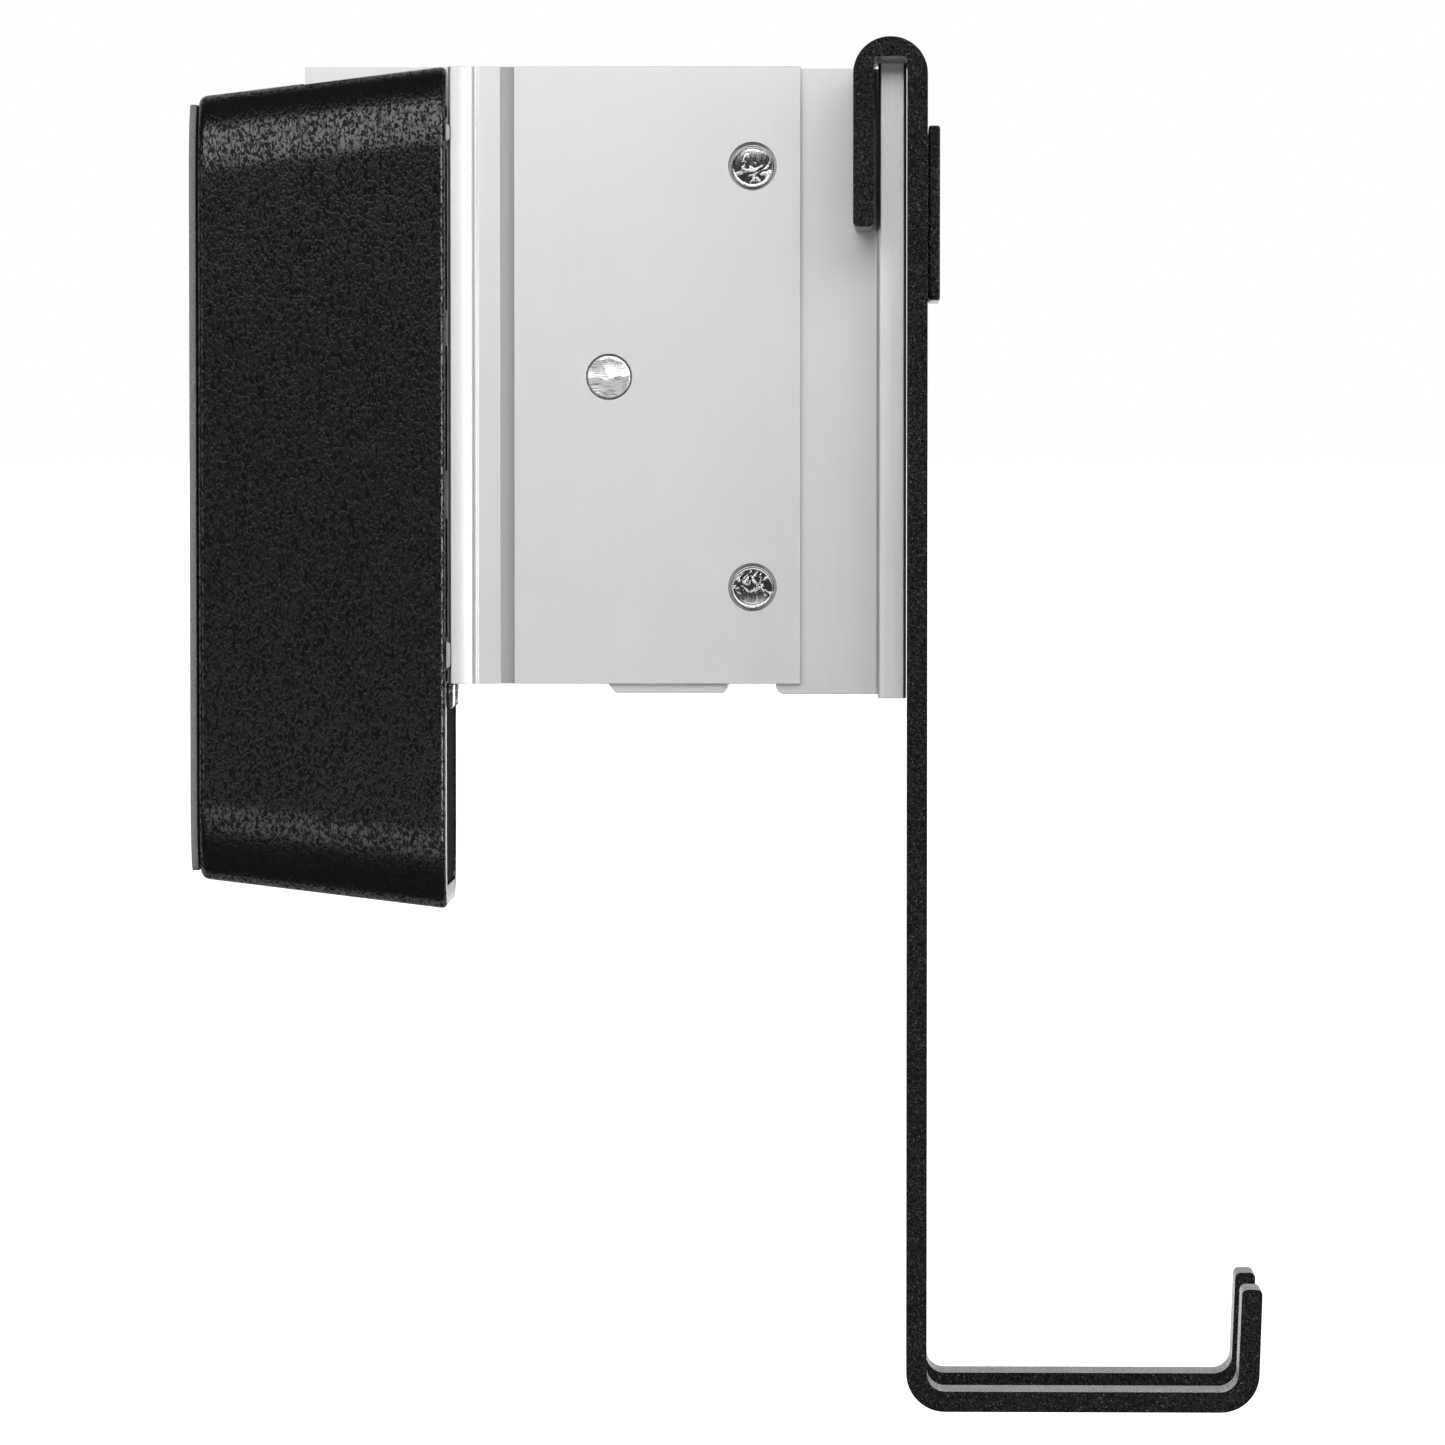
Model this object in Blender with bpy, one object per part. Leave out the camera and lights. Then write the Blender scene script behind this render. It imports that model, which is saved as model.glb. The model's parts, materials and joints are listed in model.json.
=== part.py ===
"""A headphone hook of bent flat steel, hung on the rail plate of a panel bracket.

+X points out from the panel, +Z up and +Y along the rail. The origin is the middle of the
adhesive pad's back face, where the bracket sticks to the panel. All sizes are in metres.
"""

import math

import bmesh
import bpy
from mathutils import Vector

# ---------------------------------------------------------------- driving dimensions

GAP = 0.0003  # between pieces that touch
CUT_MARGIN = 0.0010  # how far a cutter runs past what it cuts
ARC_STEPS = 6  # straight pieces in a quarter turn
SMALL_ARC_STEPS = 3  # the same, on the housing's small edge breaks
SCREW_SIDES = 20
HEAD_SIDES = 28
HOLE_SIDES = 32

# Moulded housing, a tapered box whose long edges are rounded as quarter ellipses
PAD_THICKNESS = 0.0010
HOUSING_BACK_X = PAD_THICKNESS + GAP
HOUSING_FRONT_X = 0.0385
HOUSING_BACK_HALF_HEIGHT = 0.0588
HOUSING_FRONT_HALF_HEIGHT = 0.0635
HOUSING_BACK_HALF_DEPTH = 0.0134
HOUSING_FRONT_HALF_DEPTH = 0.0140
HOUSING_CORNER_HEIGHT = 0.0125
HOUSING_CORNER_DEPTH = 0.0045
HOUSING_CORNER_STEPS = 10
HOUSING_EDGE = 0.0012
HOUSING_LIP = 0.0009
HOUSING_WALL = 0.0034
HOUSING_BACK_WALL = 0.0030
FACE_PLATE_THICKNESS = 0.0016
FACE_PLATE_RECESS = 0.0002
TEETH_CLEARANCE = 0.0001
TEETH_FRONT_X = 0.0386
TEETH = [(-0.0290, -0.0274), (-0.0223, -0.0045), (0.0026, 0.0214), (0.0268, 0.0509), (0.0556, 0.0597)]
TONGUES = {"upper": (0.0520, 0.0545), "lower": (-0.0269, -0.0230)}
TONGUE_GAP = 0.0001
TONGUE_WIDTH = 0.0006
TONGUE_THICKNESS = 0.0006
TONGUE_CORNER = 0.0005
CLIP_SPACING = 0.0130
CLIP_WIDTH = 0.0040
CLIP_LENGTH = 0.0040
CLIP_THICKNESS = 0.0005
CLIP_NOSE = 0.0008
CLIP_NOSE_CORNER = 0.0006
CLIP_FOOT_CORNER = 0.0003

# Extruded channel that comes out of the housing
CHANNEL_TOP = 0.0631
CHANNEL_BOTTOM = -0.0293
CHANNEL_BACK_X = 0.0173
CHANNEL_RIB_X = 0.0389
RIB_HEIGHT = 0.0006
RIB_LEAD = 0.0004
RIB_FLAT = 0.0016
RIB_FALL = 0.0015
RIB_FOOT = 0.0001
BEAD_GAP = 0.0002
BEAD_RISE = 0.0002
BEAD_FLAT = 0.0003
BEAD_FALL = 0.0003
BEAD_DROP = 0.0002
GROOVE_DEPTH = 0.0010
GROOVE_BACKING = 0.0010
GROOVE_BACKING_RUN = 0.0015
CHANNEL_GROOVE_X = 0.04665
CHANNEL_PLATE_X = 0.0488
CHANNEL_FRONT_X = 0.0917
CHANNEL_HALF_DEPTH = 0.0120
CHANNEL_WALL = 0.0014
CHANNEL_STEM_HALF_DEPTH = 0.0096
CHANNEL_STEM_WALL = 0.0020
CHANNEL_BASE_THICKNESS = 0.0020
CHANNEL_OPENING_DEPTH = 0.0100

# Rail profile: the plate that the hook hangs on, with two webs that run into the channel
RAIL_TOP = 0.0628
RAIL_BOTTOM = -0.0309
RAIL_BACK_X = 0.10334
RAIL_THICKNESS = 0.00418
RAIL_CORNER = 0.0005
RAIL_HALF_LENGTH = 0.0280
WEB_THICKNESS = 0.0020
WEB_BACK_X = 0.0760
WEB_LIP_X = 0.0880
WEB_LIP_HEIGHT = 0.0019
WEB_LIP_CORNER = 0.0013

# Spacer that the centre rivets pull the channel's walls onto
SPACER_BACK_X = 0.0560
SPACER_STEP_X = 0.0745
SPACER_FRONT_X = 0.0807
SPACER_TOP = 0.0400
SPACER_TAB_BACK_X = 0.0625
SPACER_TAB_SLANT = 0.00224
SPACER_TAB_CORNER = 0.0006
SPACER_TAB_BOTTOM = -0.0307

# Studs and rivets
STUD_X = 0.0845
STUD_HEIGHTS = {"upper": 0.0482, "lower": -0.0148}
STUD_HEAD_RADIUS = 0.00322
STUD_HOLE_RADIUS = 0.00360
STUD_SHANK_RADIUS = 0.0020
STUD_TAIL_RADIUS = 0.0029
STUD_TAIL_HEIGHT = 0.0011
STUD_TAIL_TAPER = 0.0006
STUD_SINK = 0.0002
HEAD_CHAMFER = 0.0003
HEAD_CHAMFER_DEPTH = 0.0002
RIVET_X = 0.0630
RIVET_Z = 0.0167
RIVET_HEAD_RADIUS = 0.00330
RIVET_SHANK_RADIUS = 0.0020
RIVET_DEPTH = 0.0050
RIVET_SEAT = 0.0002
SCREW_HEAD_RADIUS = 0.0035
SCREW_HEAD_HEIGHT = 0.0016
BACK_SCREW_END = 0.0120
CHANNEL_SCREW_END = 0.0100
SCREW_SHANK_RADIUS = 0.0020

# Anchor block inside the housing
ANCHOR_HALF_DEPTH = 0.0085
ANCHOR_TOP = 0.0470
ANCHOR_BOTTOM = -0.0240
BACK_SCREW_HEIGHTS = {"upper": 0.0360, "lower": -0.0130}
CHANNEL_SCREW_HEIGHTS = {"upper": 0.0240, "lower": 0.0000}

# Hook: one strip, bent over the rail plate, down, out and up, with a fork in its lower end
STRIP = 0.0030
HOOK_WIDTH = 0.0300
HOOK_BACK_X = 0.09972
SLOT_WIDTH = 0.0049
HOOK_SLOT_TOP = 0.0631
HOOK_TOP = 0.0660
HOOK_SHORT_LEG_END = 0.0383
HOOK_BOTTOM = -0.1351
HOOK_TIP_Z = -0.1170
HOOK_TIP_X = 0.1598
HOOK_BEND_X = 0.1592
HOOK_TOP_RADIUS = 0.0054
SLOT_CORNER = 0.0006
BEND_RADIUS = 0.0057
TIP_CORNER = 0.0006
HOOK_FAR_Y = -0.0108
FORK_GAP = 0.0146
FORK_TOP = -0.1240
FORK_CORNER = 0.0030

# Thin plate on the front of the hook's long leg
PLATE_GAP = 0.0001
PLATE_THICKNESS = 0.0017
PLATE_TOP = 0.0531
PLATE_BOTTOM = 0.0276
PLATE_WIDTH = 0.0280
PLATE_SETBACK = 0.0010
PLATE_CORNER = 0.0010
PLATE_EDGE = 0.0003

# ---------------------------------------------------------------- derived dimensions

WEB_HALF_DEPTH = CHANNEL_HALF_DEPTH - CHANNEL_WALL - GAP
RAIL_FRONT_X = RAIL_BACK_X + RAIL_THICKNESS
CHANNEL_BASE_X = CHANNEL_GROOVE_X - CHANNEL_BASE_THICKNESS
ANCHOR_BACK_X = HOUSING_BACK_X + HOUSING_BACK_WALL + GAP
ANCHOR_FRONT_X = CHANNEL_BACK_X - GAP
FACE_PLATE_FRONT_X = HOUSING_FRONT_X - FACE_PLATE_RECESS
FACE_PLATE_BACK_X = FACE_PLATE_FRONT_X - FACE_PLATE_THICKNESS
SLOT_BACK_X = HOOK_BACK_X + STRIP
LEG_BACK_X = SLOT_BACK_X + SLOT_WIDTH
LEG_FRONT_X = LEG_BACK_X + STRIP
HOOK_NEAR_Y = HOOK_FAR_Y - HOOK_WIDTH
HOOK_MIDDLE_Y = HOOK_FAR_Y - HOOK_WIDTH / 2
HOOK_ORIGIN = Vector(((SLOT_BACK_X + LEG_BACK_X) / 2, HOOK_MIDDLE_Y, RAIL_TOP))


# ---------------------------------------------------------------- materials


def make_material(name, colour, roughness, metallic):
    material = bpy.data.materials.new(name)
    material.use_nodes = True
    shader = material.node_tree.nodes["Principled BSDF"]
    shader.inputs["Base Color"].default_value = (*colour, 1.0)
    shader.inputs["Roughness"].default_value = roughness
    shader.inputs["Metallic"].default_value = metallic
    material.diffuse_color = (*colour, 1.0)
    return material


# ---------------------------------------------------------------- shape helpers


def rounded_outline(corners):
    """A closed outline from (u, v, radius) corners, with each corner turned into an arc."""
    outline = []
    count = len(corners)
    for index, (u, v, radius) in enumerate(corners):
        corner = Vector((u, v))
        before = Vector(corners[index - 1][:2]) - corner
        after = Vector(corners[(index + 1) % count][:2]) - corner
        if radius == 0:
            outline.append(corner)
            continue
        before.normalize()
        after.normalize()
        half = before.angle(after) / 2
        centre = corner + (before + after).normalized() * (radius / math.sin(half))
        start = corner + before * (radius / math.tan(half)) - centre
        end = corner + after * (radius / math.tan(half)) - centre
        turn = start.angle_signed(end)
        steps = max(2, round(abs(turn) / (math.pi / 2) * ARC_STEPS))
        begin = math.atan2(start.y, start.x)
        for step in range(steps + 1):
            angle = begin - turn * step / steps
            outline.append(centre + radius * Vector((math.cos(angle), math.sin(angle))))
    return outline


def finish(name, shape, material, parent, origin):
    """Turns a bmesh in world coordinates into an object with its own origin."""
    bmesh.ops.recalc_face_normals(shape, faces=shape.faces)
    bmesh.ops.translate(shape, verts=shape.verts, vec=-Vector(origin))
    mesh = bpy.data.meshes.new(name)
    shape.to_mesh(mesh)
    shape.free()
    mesh.materials.append(material)
    mesh.shade_smooth()
    mesh.set_sharp_from_angle(angle=math.radians(30))
    piece = bpy.data.objects.new(name, mesh)
    bpy.context.scene.collection.objects.link(piece)
    piece.parent = parent
    piece.location = Vector(origin) - parent.location
    return piece


def prism(outline, axis, start, end):
    """A bmesh of an outline pushed along an axis. The outline's own axes are the other two."""
    shape = bmesh.new()
    places = {"x": (1, 2), "y": (0, 2), "z": (0, 1)}[axis]
    along = "xyz".index(axis)
    verts = []
    for point in outline:
        place = [0.0, 0.0, 0.0]
        place[places[0]] = point[0]
        place[places[1]] = point[1]
        place[along] = start
        verts.append(shape.verts.new(place))
    face = shape.faces.new(verts)
    pushed = bmesh.ops.extrude_face_region(shape, geom=[face])["geom"]
    moved = [item for item in pushed if isinstance(item, bmesh.types.BMVert)]
    shift = [0.0, 0.0, 0.0]
    shift[along] = end - start
    bmesh.ops.translate(shape, verts=moved, vec=shift)
    return shape


def block(low, high):
    outline = [(low[0], low[1]), (high[0], low[1]), (high[0], high[1]), (low[0], high[1])]
    return prism(outline, "z", low[2], high[2])


def round_outline(radius, sides):
    turn = 2 * math.pi / sides
    return [(radius * math.cos(turn * n), radius * math.sin(turn * n)) for n in range(sides)]


def turned(profile, sides, axis, centre):
    """A solid of (distance along the axis, radius) pairs turned about an axis through centre."""
    shape = bmesh.new()
    along = "xyz".index(axis)
    across = [place for place in range(3) if place != along]
    rings = []
    for distance, radius in profile:
        ring = []
        for u, v in round_outline(radius, sides):
            place = list(centre)
            place[along] += distance
            place[across[0]] += u
            place[across[1]] += v
            ring.append(shape.verts.new(place))
        rings.append(ring)
    join_rings(shape, rings)
    return shape


def join_rings(shape, rings):
    count = len(rings[0])
    for lower, upper in zip(rings, rings[1:]):
        for n in range(count):
            m = (n + 1) % count
            shape.faces.new((lower[n], lower[m], upper[m], upper[n]))
    shape.faces.new(rings[0][::-1])
    shape.faces.new(rings[-1])


def cut(piece, shape, name):
    """Cuts a bmesh in world coordinates from a piece, with a hidden cutter and a Boolean."""
    bmesh.ops.recalc_face_normals(shape, faces=shape.faces)
    mesh = bpy.data.meshes.new(name)
    shape.to_mesh(mesh)
    shape.free()
    cutter = bpy.data.objects.new(name, mesh)
    bpy.context.scene.collection.objects.link(cutter)
    cutter.hide_render = True
    cutter.display_type = "WIRE"
    modifier = piece.modifiers.new(name, "BOOLEAN")
    modifier.operation = "DIFFERENCE"
    modifier.solver = "EXACT"
    modifier.object = cutter


# ---------------------------------------------------------------- housing


def housing_size(x):
    """Half height and half depth of the tapered housing at a distance from the panel."""
    share = (x - HOUSING_BACK_X) / (HOUSING_FRONT_X - HOUSING_BACK_X)
    height = HOUSING_BACK_HALF_HEIGHT
    height += share * (HOUSING_FRONT_HALF_HEIGHT - HOUSING_BACK_HALF_HEIGHT)
    depth = HOUSING_BACK_HALF_DEPTH
    depth += share * (HOUSING_FRONT_HALF_DEPTH - HOUSING_BACK_HALF_DEPTH)
    return height, depth


def housing_outline(x, inset):
    """The housing's outline at x, as (y, z) points, moved inwards by inset."""
    height, depth = housing_size(x)
    corner_height = HOUSING_CORNER_HEIGHT - inset
    corner_depth = HOUSING_CORNER_DEPTH - inset
    middle_y = depth - HOUSING_CORNER_DEPTH
    middle_z = height - HOUSING_CORNER_HEIGHT
    outline = []
    for quarter, (side_y, side_z) in enumerate([(1, 1), (-1, 1), (-1, -1), (1, -1)]):
        for step in range(HOUSING_CORNER_STEPS + 1):
            angle = math.pi / 2 * (quarter + step / HOUSING_CORNER_STEPS)
            y = side_y * middle_y + corner_depth * math.cos(angle)
            z = side_z * middle_z + corner_height * math.sin(angle)
            outline.append((y, z))
    return outline


def housing_rings():
    """(x, inset) of each ring of the shell, from the outer back face round to the inner one."""
    rings = []
    for step in range(SMALL_ARC_STEPS + 1):
        angle = math.pi / 2 * step / SMALL_ARC_STEPS
        inset = HOUSING_EDGE * (1 - math.sin(angle))
        rings.append((HOUSING_BACK_X + HOUSING_EDGE * (1 - math.cos(angle)), inset))
    for step in range(SMALL_ARC_STEPS + 1):
        angle = math.pi / 2 * step / SMALL_ARC_STEPS
        inset = HOUSING_LIP * (1 - math.cos(angle))
        rings.append((HOUSING_FRONT_X - HOUSING_LIP * (1 - math.sin(angle)), inset))
    rings.append((HOUSING_FRONT_X, HOUSING_WALL))
    rings.append((HOUSING_BACK_X + HOUSING_BACK_WALL, HOUSING_WALL))
    return rings


def make_housing_shell(material, parent):
    shape = bmesh.new()
    rings = []
    for x, inset in housing_rings():
        rings.append([shape.verts.new((x, y, z)) for y, z in housing_outline(x, inset)])
    join_rings(shape, rings)
    shell = finish("housing_shell", shape, material, parent, (0, 0, 0))
    half = CHANNEL_STEM_HALF_DEPTH + GAP
    low = (CHANNEL_BACK_X - GAP, -half, CHANNEL_TOP - CHANNEL_OPENING_DEPTH)
    high = (HOUSING_FRONT_X + CUT_MARGIN, half, CHANNEL_TOP + CUT_MARGIN)
    cut(shell, block(low, high), "channel_opening_cut")
    for level, z in BACK_SCREW_HEIGHTS.items():
        head = SCREW_HEAD_RADIUS + GAP
        shank = SCREW_SHANK_RADIUS + GAP
        seat = HOUSING_BACK_X + SCREW_HEAD_HEIGHT + GAP
        end = HOUSING_BACK_X + HOUSING_BACK_WALL + CUT_MARGIN
        profile = [(-CUT_MARGIN, head), (seat, head), (seat, shank), (end, shank)]
        cut(shell, turned(profile, SCREW_SIDES, "x", (0, 0, z)), f"back_screw_cut_{level}")
    return shell


def make_adhesive_pad(material, parent):
    outline = housing_outline(HOUSING_BACK_X, HOUSING_EDGE)
    shape = prism(outline, "x", 0, PAD_THICKNESS)
    return finish("adhesive_pad", shape, material, parent, (0, 0, 0))


def make_face_plate(material, parent):
    """The plate that closes the housing round the channel, with a toothed near edge."""
    outline = housing_outline(FACE_PLATE_BACK_X, HOUSING_WALL + GAP)
    shape = prism(outline, "x", FACE_PLATE_BACK_X, TEETH_FRONT_X)
    plate = finish("face_plate", shape, material, parent, (FACE_PLATE_BACK_X, 0, 0))
    half = CHANNEL_STEM_HALF_DEPTH + GAP
    beyond = HOUSING_FRONT_HALF_HEIGHT
    front = TEETH_FRONT_X + CUT_MARGIN
    low = (FACE_PLATE_BACK_X - CUT_MARGIN, -half, CHANNEL_BOTTOM - GAP)
    cut(plate, block(low, (front, half, beyond)), "face_window_cut")
    low = (FACE_PLATE_FRONT_X, -half - TEETH_CLEARANCE, -beyond)
    high = (front, HOUSING_FRONT_HALF_DEPTH, beyond)
    cut(plate, block(low, high), "face_recess_cut")
    edges = [-beyond] + [z for tooth in TEETH for z in tooth] + [beyond]
    for index, (low_z, high_z) in enumerate(zip(edges[::2], edges[1::2]), start=1):
        low = (FACE_PLATE_FRONT_X, -HOUSING_FRONT_HALF_DEPTH, low_z)
        high = (front, 0, high_z)
        cut(plate, block(low, high), f"tooth_gap_cut_{index}")
    return plate


def make_latch_tongues(material, parent):
    """Two leaf tips that lie on the channel's ribs, in gaps of the toothed edge."""
    for level, (low_z, high_z) in TONGUES.items():
        back_x = HOUSING_FRONT_X + TONGUE_GAP
        front_x = back_x + TONGUE_WIDTH
        corners = [
            (back_x, low_z, 0),
            (front_x, low_z, TONGUE_CORNER),
            (front_x, high_z, TONGUE_CORNER),
            (back_x, high_z, 0),
        ]
        y = -CHANNEL_HALF_DEPTH - RIB_HEIGHT - GAP
        shape = prism(rounded_outline(corners), "y", y - TONGUE_THICKNESS, y)
        origin = (back_x, y, (low_z + high_z) / 2)
        finish(f"latch_tongue_{level}", shape, material, parent, origin)


def make_clips(material, parent):
    """Spring clips on the face plate, just under the channel's lower end."""
    back_x = FACE_PLATE_FRONT_X + GAP
    front_x = TEETH_FRONT_X + GAP + CLIP_THICKNESS
    top = CHANNEL_BOTTOM - GAP
    bottom = top - CLIP_LENGTH
    corners = [
        (back_x, top, 0),
        (back_x, bottom, CLIP_FOOT_CORNER),
        (front_x, bottom + CLIP_NOSE, CLIP_NOSE_CORNER),
        (front_x, top, 0),
    ]
    for side, y in (("near", -CLIP_SPACING / 2), ("far", CLIP_SPACING / 2)):
        shape = prism(rounded_outline(corners), "y", y - CLIP_WIDTH / 2, y + CLIP_WIDTH / 2)
        finish(f"clip_{side}", shape, material, parent, (back_x, y, top))


def make_anchor_block(material, parent):
    low = (ANCHOR_BACK_X, -ANCHOR_HALF_DEPTH, ANCHOR_BOTTOM)
    high = (ANCHOR_FRONT_X, ANCHOR_HALF_DEPTH, ANCHOR_TOP)
    anchor = finish("anchor_block", block(low, high), material, parent, (ANCHOR_BACK_X, 0, 0))
    radius = SCREW_SHANK_RADIUS + GAP
    for level, z in BACK_SCREW_HEIGHTS.items():
        profile = [(ANCHOR_BACK_X - CUT_MARGIN, radius), (BACK_SCREW_END + GAP, radius)]
        cut(anchor, turned(profile, SCREW_SIDES, "x", (0, 0, z)), f"anchor_back_cut_{level}")
    for level, z in CHANNEL_SCREW_HEIGHTS.items():
        profile = [(CHANNEL_SCREW_END - GAP, radius), (ANCHOR_FRONT_X + CUT_MARGIN, radius)]
        cut(anchor, turned(profile, SCREW_SIDES, "x", (0, 0, z)), f"anchor_front_cut_{level}")
    return anchor


def make_housing_screws(material, parent):
    """Screws from the back into the anchor block, and from the channel into it."""
    head = HOUSING_BACK_X + SCREW_HEAD_HEIGHT
    for level, z in BACK_SCREW_HEIGHTS.items():
        profile = [
            (HOUSING_BACK_X, SCREW_HEAD_RADIUS),
            (head, SCREW_HEAD_RADIUS),
            (head, SCREW_SHANK_RADIUS),
            (BACK_SCREW_END, SCREW_SHANK_RADIUS),
        ]
        shape = turned(profile, SCREW_SIDES, "x", (0, 0, z))
        finish(f"back_screw_{level}", shape, material, parent, (HOUSING_BACK_X, 0, z))
    seat = CHANNEL_BACK_X + CHANNEL_STEM_WALL + GAP
    for level, z in CHANNEL_SCREW_HEIGHTS.items():
        profile = [
            (CHANNEL_SCREW_END, SCREW_SHANK_RADIUS),
            (seat, SCREW_SHANK_RADIUS),
            (seat, SCREW_HEAD_RADIUS),
            (seat + SCREW_HEAD_HEIGHT, SCREW_HEAD_RADIUS),
        ]
        shape = turned(profile, SCREW_SIDES, "x", (0, 0, z))
        finish(f"channel_screw_{level}", shape, material, parent, (seat, 0, z))


# ---------------------------------------------------------------- channel and rail


def mirrored(points):
    """An outline's half at negative y, joined to its mirror image at positive y."""
    return points + [(x, -y) for x, y in reversed(points)]


def channel_outline():
    """The channel's section: a stem, a ribbed and grooved shoulder, and two plain walls."""
    face = -CHANNEL_HALF_DEPTH
    inner = face + CHANNEL_WALL
    rib_top = face - RIB_HEIGHT
    rib_foot = face + RIB_FOOT
    rib_flat = CHANNEL_RIB_X + RIB_LEAD
    rib_fall = rib_flat + RIB_FLAT
    rib_end = rib_fall + RIB_FALL
    bead = rib_end + BEAD_GAP
    bead_flat = bead + BEAD_RISE
    bead_fall = bead_flat + BEAD_FLAT
    bead_top = rib_top + BEAD_DROP
    backing = inner + GROOVE_BACKING
    backing_end = CHANNEL_PLATE_X + GROOVE_BACKING_RUN
    return mirrored(
        [
            (CHANNEL_BACK_X, -CHANNEL_STEM_HALF_DEPTH),
            (CHANNEL_RIB_X, -CHANNEL_STEM_HALF_DEPTH),
            (CHANNEL_RIB_X, rib_top + RIB_HEIGHT / 2),
            (rib_flat, rib_top),
            (rib_fall, rib_top),
            (rib_end, rib_foot),
            (bead, rib_foot),
            (bead_flat, bead_top),
            (bead_fall, bead_top),
            (bead_fall + BEAD_FALL, face),
            (CHANNEL_GROOVE_X, face),
            (CHANNEL_GROOVE_X, face + GROOVE_DEPTH),
            (CHANNEL_PLATE_X, face + GROOVE_DEPTH),
            (CHANNEL_PLATE_X, face),
            (CHANNEL_FRONT_X, face),
            (CHANNEL_FRONT_X, inner),
            (backing_end + GROOVE_BACKING_RUN, inner),
            (backing_end, backing),
            (CHANNEL_GROOVE_X, backing),
        ]
    )


def through_bore(radius):
    """A turned cutter's profile, long enough to pass through both of the channel's walls."""
    end = CHANNEL_HALF_DEPTH + RIB_HEIGHT + CUT_MARGIN
    return [(-end, radius), (end, radius)]


def make_channel(material, parent):
    shape = prism(channel_outline(), "z", CHANNEL_BOTTOM, CHANNEL_TOP)
    middle = (CHANNEL_BOTTOM + CHANNEL_TOP) / 2
    channel = finish("channel", shape, material, parent, (CHANNEL_BACK_X, 0, middle))
    half = CHANNEL_STEM_HALF_DEPTH - CHANNEL_STEM_WALL
    low = (CHANNEL_BACK_X + CHANNEL_STEM_WALL, -half, CHANNEL_BOTTOM - CUT_MARGIN)
    high = (CHANNEL_BASE_X, half, CHANNEL_TOP + CUT_MARGIN)
    cut(channel, block(low, high), "channel_bore_cut")
    for level, z in CHANNEL_SCREW_HEIGHTS.items():
        radius = SCREW_SHANK_RADIUS + GAP
        profile = [(-CUT_MARGIN, radius), (CHANNEL_STEM_WALL + CUT_MARGIN, radius)]
        hole = turned(profile, SCREW_SIDES, "x", (CHANNEL_BACK_X, 0, z))
        cut(channel, hole, f"channel_screw_cut_{level}")
    for level, z in STUD_HEIGHTS.items():
        hole = turned(through_bore(STUD_HOLE_RADIUS), HOLE_SIDES, "y", (STUD_X, 0, z))
        cut(channel, hole, f"channel_stud_cut_{level}")
    bore = through_bore(RIVET_HEAD_RADIUS + GAP / 2)
    cut(channel, turned(bore, HOLE_SIDES, "y", (RIVET_X, 0, RIVET_Z)), "channel_rivet_cut")
    return channel


def rail_outline():
    """The rail profile's section: the rail plate, and two webs with a small inner fillet."""
    outer = -WEB_HALF_DEPTH
    inner = outer + WEB_THICKNESS
    plate = RAIL_BACK_X
    corner = RAIL_CORNER
    half = [
        (WEB_BACK_X, inner, 0),
        (WEB_BACK_X, outer, 0),
        (plate, outer, corner),
        (plate, -RAIL_HALF_LENGTH, corner),
        (RAIL_FRONT_X, -RAIL_HALF_LENGTH, corner),
    ]
    other = [(x, -y, radius) for x, y, radius in reversed(half)]
    inside = [(plate, -inner, corner), (plate, inner, corner)]
    return rounded_outline(half + other + inside)


def web_lip_outline():
    """What is cut from under the webs: a shallow step, ending at the lip's rounded corner."""
    back = WEB_BACK_X - CUT_MARGIN
    low = RAIL_BOTTOM - CUT_MARGIN
    top = RAIL_BOTTOM + WEB_LIP_HEIGHT
    outline = [(back, top), (back, low), (WEB_LIP_X + WEB_LIP_CORNER, low)]
    for step in range(ARC_STEPS + 1):
        angle = math.pi / 2 * step / ARC_STEPS
        x = WEB_LIP_X + WEB_LIP_CORNER * (1 - math.sin(angle))
        outline.append((x, RAIL_BOTTOM + WEB_LIP_CORNER * (1 - math.cos(angle))))
    outline.append((WEB_LIP_X, top))
    return outline


def make_rail_profile(material, parent):
    shape = prism(rail_outline(), "z", RAIL_BOTTOM, RAIL_TOP)
    middle = (RAIL_BOTTOM + RAIL_TOP) / 2
    rail = finish("rail_profile", shape, material, parent, (RAIL_FRONT_X, 0, middle))
    lip = prism(web_lip_outline(), "y", -CHANNEL_HALF_DEPTH, CHANNEL_HALF_DEPTH)
    cut(rail, lip, "web_lip_cut")
    bore = through_bore(STUD_SHANK_RADIUS + GAP)
    for level, z in STUD_HEIGHTS.items():
        cut(rail, turned(bore, SCREW_SIDES, "y", (STUD_X, 0, z)), f"web_stud_cut_{level}")
    return rail


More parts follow.
